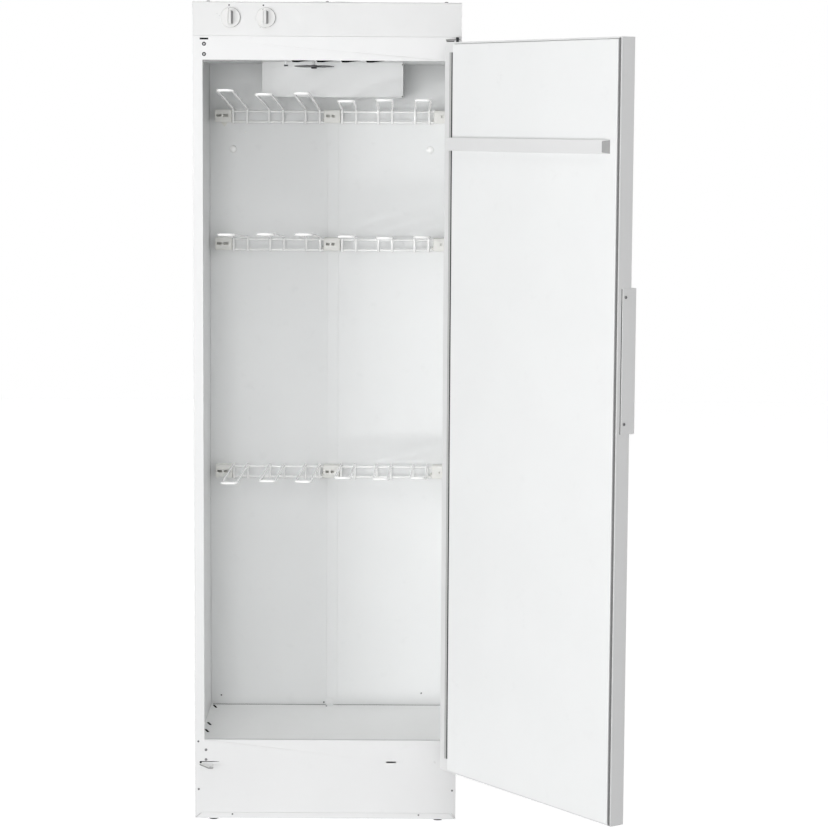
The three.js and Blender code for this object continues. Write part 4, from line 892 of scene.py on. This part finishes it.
def build_hinge_gaps():
    """The upper hinge slots and the opening at the spare hinge plate, filled near-black as painted shade."""
    bm = bmesh.new()
    flat = (-0.25, 0.15)
    prism(bm, [(-281.4, 1761.6), (-262.4, 1761.6), (-262.4, 1765.6), (-281.4, 1765.6)], 1, flat)
    prism(bm, [(264, 1760.1), (281, 1760.1), (281, 1761.9), (264, 1761.9)], 1, flat)
    lathe(bm, [(2.6, 0.2), (2.6, -0.3), (2.2, -0.5)], (-284.2, 0, 130.4), BACK, 20)
    spare = [(-283, 131), (-258, 131), (-242, 131.8), (-242, 132.3), (-258, 132.6), (-283, 132.6)]
    prism(bm, spare, 1, flat)
    make_piece("hinge_slot_gaps", bm, PAINTED_GAP_SHADOW)


def build_rail_mitres():
    """The slanted joint lines at the bottom rail's two ends."""
    bm = bmesh.new()
    half = 0.55
    for ax, az, bx, bz in ((-282.7, 12.7, -296.6, 1.3), (288.5, 14.2, 296.6, 2.1)):
        prism(bm, [(ax, az + half), (bx, bz + half), (bx, bz - half), (ax, az - half)], 1, (-1.5, -1))
    make_piece("rail_mitres", bm, FAINT_LINE)


def build_pin_head():
    """The head of the upper hinge pin, above its plate."""
    bm = bmesh.new()
    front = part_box("upper_hinge_plate")[0][1] * 1000 + DEPTH / 2
    profile = [(0, 1768.6), (2.6, 1768.6), (3.3, 1767.9), (3.5, 1767), (3.5, 1762), (0, 1762)]
    lathe(bm, profile, (PIVOT[0], front + 2.7, 0), UP, 28)
    make_piece("hinge_pin_head", bm, DARK_PLASTIC)


def build_plugs():
    """Round cover caps and a rivet on the back wall, and a cable tab at the floor."""
    bm = bmesh.new()
    profile = [(8.8, 0.3), (8.8, -0.8), (8.2, -1.9), (6.8, -2.8), (3.5, -3.4), (0, -3.6)]
    for x, z in ((-240.2, 1516), (233, 1516.6)):
        lathe(bm, profile, (x, BACK_FACE, z), BACK, 40)
    lathe(bm, [(2.6, 0.3), (2.6, -0.4), (1.6, -1.2), (0, -1.4)], (-211.4, BACK_FACE, 1556.8), BACK, 24)
    make_piece("wall_caps", bm, CAP_PLASTIC, smooth=40)
    bm = bmesh.new()
    shape = ((0.2, 16.5), (1.4, 16), (2.2, 3), (5, 1.2), (16, 1), (16, -0.1), (0.2, -0.1))
    profile = [(STRIP_FRONT - out, FLOOR + up) for out, up in shape]
    prism(bm, profile, 0, (-14, 4))
    piece = make_piece("joint_tab", bm, INNER_PAINT, smooth=40)
    round_edges(piece, 0.5)


# ---- racks ----


def rack_mesh(level, side):
    sign = -1 if side == "left" else 1
    z = LEVELS[level]
    lower = z - BAR_SPACING
    bm = bmesh.new()
    radius = WIRE / 2 + COATING
    inner = BRACKET_HALF + sign * CENTRE_SHIFT
    tube(bm, [(sign * (inner - 7), RACK_Y, z), (sign * (OUTER_BRACKET + 7), RACK_Y, z)], radius)
    tube(bm, [(sign * (inner + 2), RACK_Y, lower), (sign * (OUTER_BRACKET - 2), RACK_Y, lower)], radius)
    leg_y = RACK_Y - 4
    half = LOOP_WIDTH / 2
    for x, tip_x, tip_z in RACKS[level, side]:
        corners = [
            (x - half, leg_y, lower - radius),
            (x - half, leg_y, z + 6),
            (tip_x - half, TIP_Y, tip_z),
            (tip_x + half, TIP_Y, tip_z),
            (x + half, leg_y, z + 6),
            (x + half, leg_y, lower - radius),
        ]
        tip = round_corners(corners[1:5], TIP_BEND, 9)
        path = (
            round_corners([corners[0], corners[1], tip[1]], LEG_BEND, 7)[:-1]
            + tip[1:-1]
            + round_corners([tip[-2], corners[4], corners[5]], LEG_BEND, 7)[1:]
        )
        tube(bm, path, radius)
        for dx in (-half, half):
            for height in (z, lower):
                weld(bm, (x + dx, RACK_Y - 2, height))
    return bm


def weld(bm, at):
    """The flattened bead where a leg is welded on a bar."""
    profile = [(0, -3.3), (1.4, -3), (2.4, -1.6), (2.7, 0), (2.4, 1.6), (1.4, 3), (0, 3.3)]
    lathe(bm, profile, at, RIGHT, 12)


def build_racks():
    for level, side in RACKS:
        node = f"{level}_rack_{side}"
        body = node if level != "upper" else "cabinet"
        make_piece(
            f"{level}_hanger_{side}", rack_mesh(level, side), WIRE_COATING, (node,), body=body, smooth=60
        )


def bracket_mesh(level, place):
    """A hollow moulding with two deep pockets and a lug on each side that holds a rack."""
    z = LEVELS[level]
    low, high = z - BAR_SPACING - 1.7, z + 4
    x0, x1 = {
        "left": (-OUTER_BRACKET - OUTER_BRACKET_WIDTH, -OUTER_BRACKET),
        "centre": (CENTRE_SHIFT - BRACKET_HALF, CENTRE_SHIFT + BRACKET_HALF),
        "right": (OUTER_BRACKET, OUTER_BRACKET + OUTER_BRACKET_WIDTH),
    }[place]
    wall = (STRIP_FRONT if place == "centre" else BACK_FACE) - 0.3
    front = RACK_Y - BRACKET_NOSE
    pocket_z = z - (11 if level == "lower" else 10.4)
    pockets = {
        "left": ((-277.6, -265.9), (-261.9, -249.6)),
        "centre": ((-16, -7.2), (-3, 5.2)),
        "right": ((258.6, 261.4),),
    }[place]
    tall = 3 if place == "right" else 3.3
    bm = bmesh.new()

    def loop(xa, xb, za, zb, y, cut):
        points = [
            (xa + cut, za), (xb - cut, za), (xb, za + cut), (xb, zb - cut), (xb - cut, zb), (xa + cut, zb),
            (xa, zb - cut), (xa, za + cut),
        ]
        return [bm.verts.new((px, y, pz)) for px, pz in points]

    rows = [
        loop(x0, x1, low, high, wall, 1.6),
        loop(x0, x1, low, high, front + 1.6, 1.6),
        loop(x0 + 0.5, x1 - 0.5, low + 0.5, high - 0.5, front + 0.5, 1.8),
        loop(x0 + 1.6, x1 - 1.6, low + 1.6, high - 1.6, front, 2),
    ]
    for a, b in zip(rows, rows[1:]):
        bridge(bm, a, b)
    bm.faces.new(rows[0])
    edges = [bm.edges.get((rows[-1][k], rows[-1][(k + 1) % 8])) for k in range(8)]
    dark = []
    base, roof = pocket_z - tall, pocket_z + tall
    for xa, xb in pockets:
        mouth = loop(xa, xb, base, roof, front, 0.7)
        rim = loop(xa + 0.5, xb - 0.5, base + 0.5, roof - 0.5, front + 0.8, 0.6)
        deep = loop(xa + 0.7, xb - 0.7, base + 0.7, roof - 0.7, front + POCKET_DEPTH, 0.6)
        edges += [bm.edges.new((mouth[k], mouth[(k + 1) % 8])) for k in range(8)]
        bridge(bm, mouth, rim)
        count = len(bm.faces)
        bridge(bm, rim, deep)
        bm.faces.new(deep)
        bm.faces.ensure_lookup_table()
        dark += bm.faces[count:]
    bmesh.ops.triangle_fill(bm, edges=edges, use_beauty=True)
    # The pockets' walls and floors take the near-black: painted shade.
    for face in dark:
        face.material_index = 1
    lugs = [(x0 - 4, x0 + 1)] if place != "left" else []
    lugs += [(x1 - 1, x1 + 4)] if place != "right" else []
    for xa, xb in lugs:
        lug = [
            (RACK_Y + 3, low + 0.4), (RACK_Y + 3, low + 7), (RACK_Y + 4.5, low + 8.6), (wall, low + 8.6),
            (wall, low + 0.4),
        ]
        prism(bm, lug, 0, (xa, xb))
    return bm


def build_brackets():
    """Nine holders, and the gusset below the upper left one."""
    for level in LEVELS:
        for place in ("left", "centre", "right"):
            make_piece(
                f"{level}_holder_{place}", bracket_mesh(level, place), [BRACKET_PLASTIC, PAINTED_GAP_SHADOW],
                (f"{level}_bracket_{place}",), smooth=40,
            )
    bm = bmesh.new()
    outline = [(-274.2, 1585.4), (-250.2, 1585.4), (-259.6, 1570.6), (-261.1, 1569.6), (-262.8, 1570.6)]
    prism(bm, outline, 1, (BACK_FACE + 0.2, BACK_FACE - 1.4))
    piece = make_piece("holder_gusset", bm, BRACKET_PLASTIC)
    round_edges(piece, 0.4)


# ---- door ----


def build_door():
    def mouth(at):
        """Moves the flange's edge at the hinge, and leaves a taller closed corner at the bottom."""
        x = at.x + HINGE_GROOVE_SHIFT if abs(at.x - HINGE_FLANGE_EDGE) < 0.3 else at.x
        if at.x > 255 and abs(at.z - DOOR_BOTTOM - 22) < 0.2:
            return (x, at.y, at.z + 6.2)
        return (x, at.y, at.z)

    def liner(at):
        """Moves the hinge side, and leaves a narrow open line along the top and the bottom."""
        x = at.x + HINGE_GROOVE_SHIFT if at.x > LINER_RIGHT - 3 else at.x
        if at.z > DOOR_TOP - 8:
            return (x, at.y, at.z - 0.9)
        if at.z < DOOR_BOTTOM + 8:
            return (x, at.y, at.z + 0.3)
        return (x, at.y, at.z)

    def bar(at):
        """Slants the towel bar's end."""
        if at.x < DOOR_RAIL["left"] + 2 and at.y > DOOR_RAIL["face"] - 5:
            return (at.x + TOWEL_BAR_SLANT, at.y, at.z)
        return at

    dress("door_shell", "door_case", OUTER_PAINT, 0.5, body="door", move=mouth)
    dress("door_liner", "door_inner_sheet", DOOR_PAINT, 0.6, body="door", move=liner)
    dress("door_core", "door_filling", CORE_FIBRE, 0, body="door")
    dress("door_rail", "towel_bar", OUTER_PAINT, 0.8, body="door", move=bar)
    dress("door_handle", "pull_handle", OUTER_PAINT, 0.35, body="door")
    dress("catch_magnet", "magnet_bar", FERRITE, 0.5, body="door")
    for node in ("upper_hinge_bush", "lower_hinge_bush"):
        dress(node, node.replace("bush", "sleeve"), WHITE_PLASTIC, 0.3, body="door")


def frame_ring(bm, outer, inner, profile):
    """A mitred frame; profile holds (share of the way inwards, y) points."""
    rows = []
    for (ox, oz), (ix, iz) in zip(outer, inner):
        rows.append([bm.verts.new((ox + (ix - ox) * s, y, oz + (iz - oz) * s)) for s, y in profile])
    for k in range(4):
        bridge(bm, rows[k], rows[(k + 1) % 4])


def corners_of(left, right, bottom, top):
    return [(left, bottom), (right, bottom), (right, top), (left, top)]


def build_seal():
    """Light soft ridge beside the door's flange, and the rubber channel that holds it, its near-black
    standing in for the groove's shade.
    """
    low, high = DOOR_BOTTOM, DOOR_TOP
    bm = bmesh.new()
    profile = [
        (0, -3.9), (0.12, -3.3), (0.3, -3.05), (0.5, -3), (0.72, -3.15), (0.9, -3.7), (1, -4.6),
        (1, -9.5), (0, -9.5),
    ]
    frame_ring(
        bm,
        corners_of(-291.8, HINGE_FLANGE_EDGE + 3.5, low + 3.7, high - 3.7),
        corners_of(-290, HINGE_FLANGE_EDGE - 2.2, low + 4.3, high - 4.3),
        profile,
    )
    make_piece("door_gasket", bm, SEAL_RUBBER, ("door_seal",), body="door", smooth=50)
    bm = bmesh.new()
    frame_ring(
        bm,
        corners_of(-293, HINGE_FLANGE_EDGE + 4.4, low + 3, high - 3),
        corners_of(-285.7, LINER_RIGHT + HINGE_GROOVE_SHIFT - 0.3, low + 7, high - 7),
        [(0, -4.6), (0.3, -4.9), (0.8, -4.9), (1, -4.3), (1, -10.4), (0, -10.4)],
    )
    make_piece("door_gasket_channel", bm, RUBBER_PAINTED_SHADE, body="door", smooth=50)
    bm = bmesh.new()
    lip = [(-293.8, -9), (-293.8, -2.9), (-293.4, -2.3), (-292.6, -2.1), (-291.8, -2.4), (-291.2, -2.9)]
    lip += [(-290.6, -2.3), (-289.8, -2), (-288.6, -2.1), (-287.9, -2.6), (-287.4, -3.6), (-287.4, -9)]
    prism(bm, lip, 2, (low + 2, high - 2))
    make_piece("door_edge_lip", bm, EDGE_RUBBER, body="door", smooth=50)


def build_door_details():
    """Screws of the handle, a near-black strip along its rear edge as painted shadow, and the towel bar's
    slanted end in painted shade.
    """
    places = [((HANDLE["left"], -20.5, z), (-1, 0, 0), 3.2) for z in (1231, 970.5)]
    screws("handle_screws", places, body="door")
    # Painted shadow: a near-black strip along the handle plate's rear edge.
    bm = bmesh.new()
    low, high = HANDLE["bottom"] + 0.6, HANDLE["top"] - 0.6
    profile = [(-12.4, low), (-11.9, low + 0.5), (-11.9, high - 0.5), (-12.4, high)]
    profile += [(-37, high), (-37, low)]
    prism(bm, profile, 0, (-297.1, -296.02))
    make_piece("handle_edge_shadow", bm, RUBBER_PAINTED_SHADE, body="door")
    # Painted shade: the bar's open end drawn as a grey plate.
    low, high = DOOR_RAIL["bottom"], DOOR_RAIL["top"]
    face, fold, root = DOOR_RAIL["face"], DOOR_RAIL["left"] + TOWEL_BAR_SLANT - 0.3, DOOR_RAIL["left"] - 2.6
    outline = [
        (fold, face + 0.5, low + 3.4), (fold - 1.2, face, low + 2.4), (root, LINER_FACE + 0.1, low + 0.3),
        (root, LINER_FACE + 0.1, high - 0.3), (fold - 1.2, face, high - 2.4), (fold, face + 0.5, high - 3.4),
    ]
    bm = bmesh.new()
    back = Vector((0.8, -0.8, 0))
    loft(bm, [[bm.verts.new(Vector(p) + back * k) for p in outline] for k in (0, 1)])
    make_piece("towel_bar_end", bm, PAINTED_SHADE_GREY, body="door")


# ---- feet ----


def build_feet():
    """Flanged pads on threaded studs."""
    for end, y in FOOT_DEPTHS.items():
        for side, x in (("left", -FOOT_X), ("right", FOOT_X)):
            node = f"foot_{end}_{side}"
            bm = bmesh.new()
            pad = [
                (0, -10), (9.8, -10), (10.8, -9.7), (11.5, -8.9), (12.2, -7.6), (13, -5.2),
                (13.7, -4.5), (14, -3.8), (14, -1), (13.7, -0.4), (13, -0.1), (6, 0.2), (6, 1.5),
                (0, 1.5),
            ]
            lathe(bm, pad, (x, y, 0), UP, 48)
            stud = [(0, 0.5), (4.9, 0.5)]
            for k in range(17):
                stud += [(4.95, 1.2 + 1.4 * k), (4.45, 1.9 + 1.4 * k)]
            stud += [(4.2, 25.6), (3.6, 26), (0, 26)]
            lathe(bm, stud, (x, y, 0), UP, 24)
            make_piece(f"levelling_{node}", bm, BLACK_RUBBER, (node,), body=node)


# ---- stage and light ----


STAGE_HALF = 9000
STAGE_GLOW = 0.72
WORLD_STRENGTH = 0.23
LIGHT_REACH = 5.6  # metres from the lamps to their target


def seen_directly(tree):
    """1 for camera and glossy rays, 0 for the light that falls on the cabinet."""
    path = tree.nodes.new("ShaderNodeLightPath")
    seen = tree.nodes.new("ShaderNodeMath")
    seen.operation = "MAXIMUM"
    tree.links.new(path.outputs["Is Camera Ray"], seen.inputs[0])
    tree.links.new(path.outputs["Is Glossy Ray"], seen.inputs[1])
    return seen.outputs[0]


def stage_material():
    """Pale floor: white to the camera and to gloss, and it keeps the cabinet's shadow."""
    n = Nodes("stage_floor")
    tone = n.mix(n.noise(3, 2), (0.93, 0.93, 0.93), (0.95, 0.95, 0.95))
    n.set(Base_Color=tone, Roughness=0.9)
    glow = n.add("ShaderNodeEmission", Color=(1, 1, 1, 1))
    share = n.add("ShaderNodeMath", operation="MULTIPLY")
    n.link(seen_directly(n.tree), share.inputs[0])
    share.inputs[1].default_value = STAGE_GLOW
    n.link(share.outputs[0], glow.inputs["Strength"])
    total = n.add("ShaderNodeAddShader")
    n.link(n.shader.outputs["BSDF"], total.inputs[0])
    n.link(glow.outputs["Emission"], total.inputs[1])
    n.link(total.outputs["Shader"], n.tree.nodes["Material Output"].inputs["Surface"])
    return n.material


def build_stage():
    bm = bmesh.new()
    size = STAGE_HALF
    corners = ((-size, -size), (size, -size), (size, size), (-size, size))
    bm.faces.new([bm.verts.new((x, y, GROUND)) for x, y in corners])
    bm.transform(TO_FRAME)
    floor = add_mesh("stage_floor", bm)
    floor.data.materials.append(stage_material())


def build_world():
    world = bpy.data.worlds.new("studio")
    bpy.context.scene.world = world
    world.use_nodes = True
    tree = world.node_tree
    background = tree.nodes["Background"]
    level = tree.nodes.new("ShaderNodeMapRange")
    level.inputs["To Min"].default_value = WORLD_STRENGTH
    level.inputs["To Max"].default_value = 1
    tree.links.new(seen_directly(tree), level.inputs["Value"])
    tree.links.new(level.outputs["Result"], background.inputs["Strength"])
    background.inputs["Color"].default_value = (1, 1, 1, 1)


def build_lights():
    """Soft lamps on a sphere round the target; turn is to the right of the front, rise above level."""
    target = Vector((0, -0.1, 0.95))
    for name, turn, rise, size, power in (
        ("key_left", -37, 8, (2, 2), 40),
        ("key_front", -4, 8, (0.9, 0.9), 53),
        ("fill_top", -10, 55, (1.8, 1.8), 40),
        ("fill_low_left", -37, -7.2, (1.6, 0.3), 68),
        ("fill_low_front", -12, -7.2, (1.6, 0.3), 14),
        ("fill_right", 15, 8, (1, 1), 11),
        ("fill_right_high", 28, 30, (1.2, 1.2), 20),
    ):
        a, e = math.radians(turn), math.radians(rise)
        data = bpy.data.lights.new(name, "AREA")
        data.shape = "RECTANGLE"
        data.size, data.size_y = size
        data.energy = power
        lamp = add_object(name, data)
        lamp.location = (
            LIGHT_REACH * math.sin(a) * math.cos(e),
            -LIGHT_REACH * math.cos(a) * math.cos(e),
            target.z + LIGHT_REACH * math.sin(e),
        )
        lamp.rotation_mode = "QUATERNION"
        lamp.rotation_quaternion = (target - lamp.location).to_track_quat("-Z", "Y")
        lamp.visible_camera = False


build_body()
build_bulb()
build_louvres()
build_duct_trim()
build_fan()
build_heater()
build_knobs()
build_scale_marks()
build_hinge_screws()
build_hole_plugs()
build_body_screws()
build_floor_shade_lines()
build_header_shadow_line()
build_hinge_gaps()
build_rail_mitres()
build_pin_head()
build_plugs()
build_racks()
build_brackets()
build_door()
build_seal()
build_door_details()
build_feet()
build_stage()
build_world()
build_lights()

bpy.context.scene.view_settings.view_transform = "Standard"
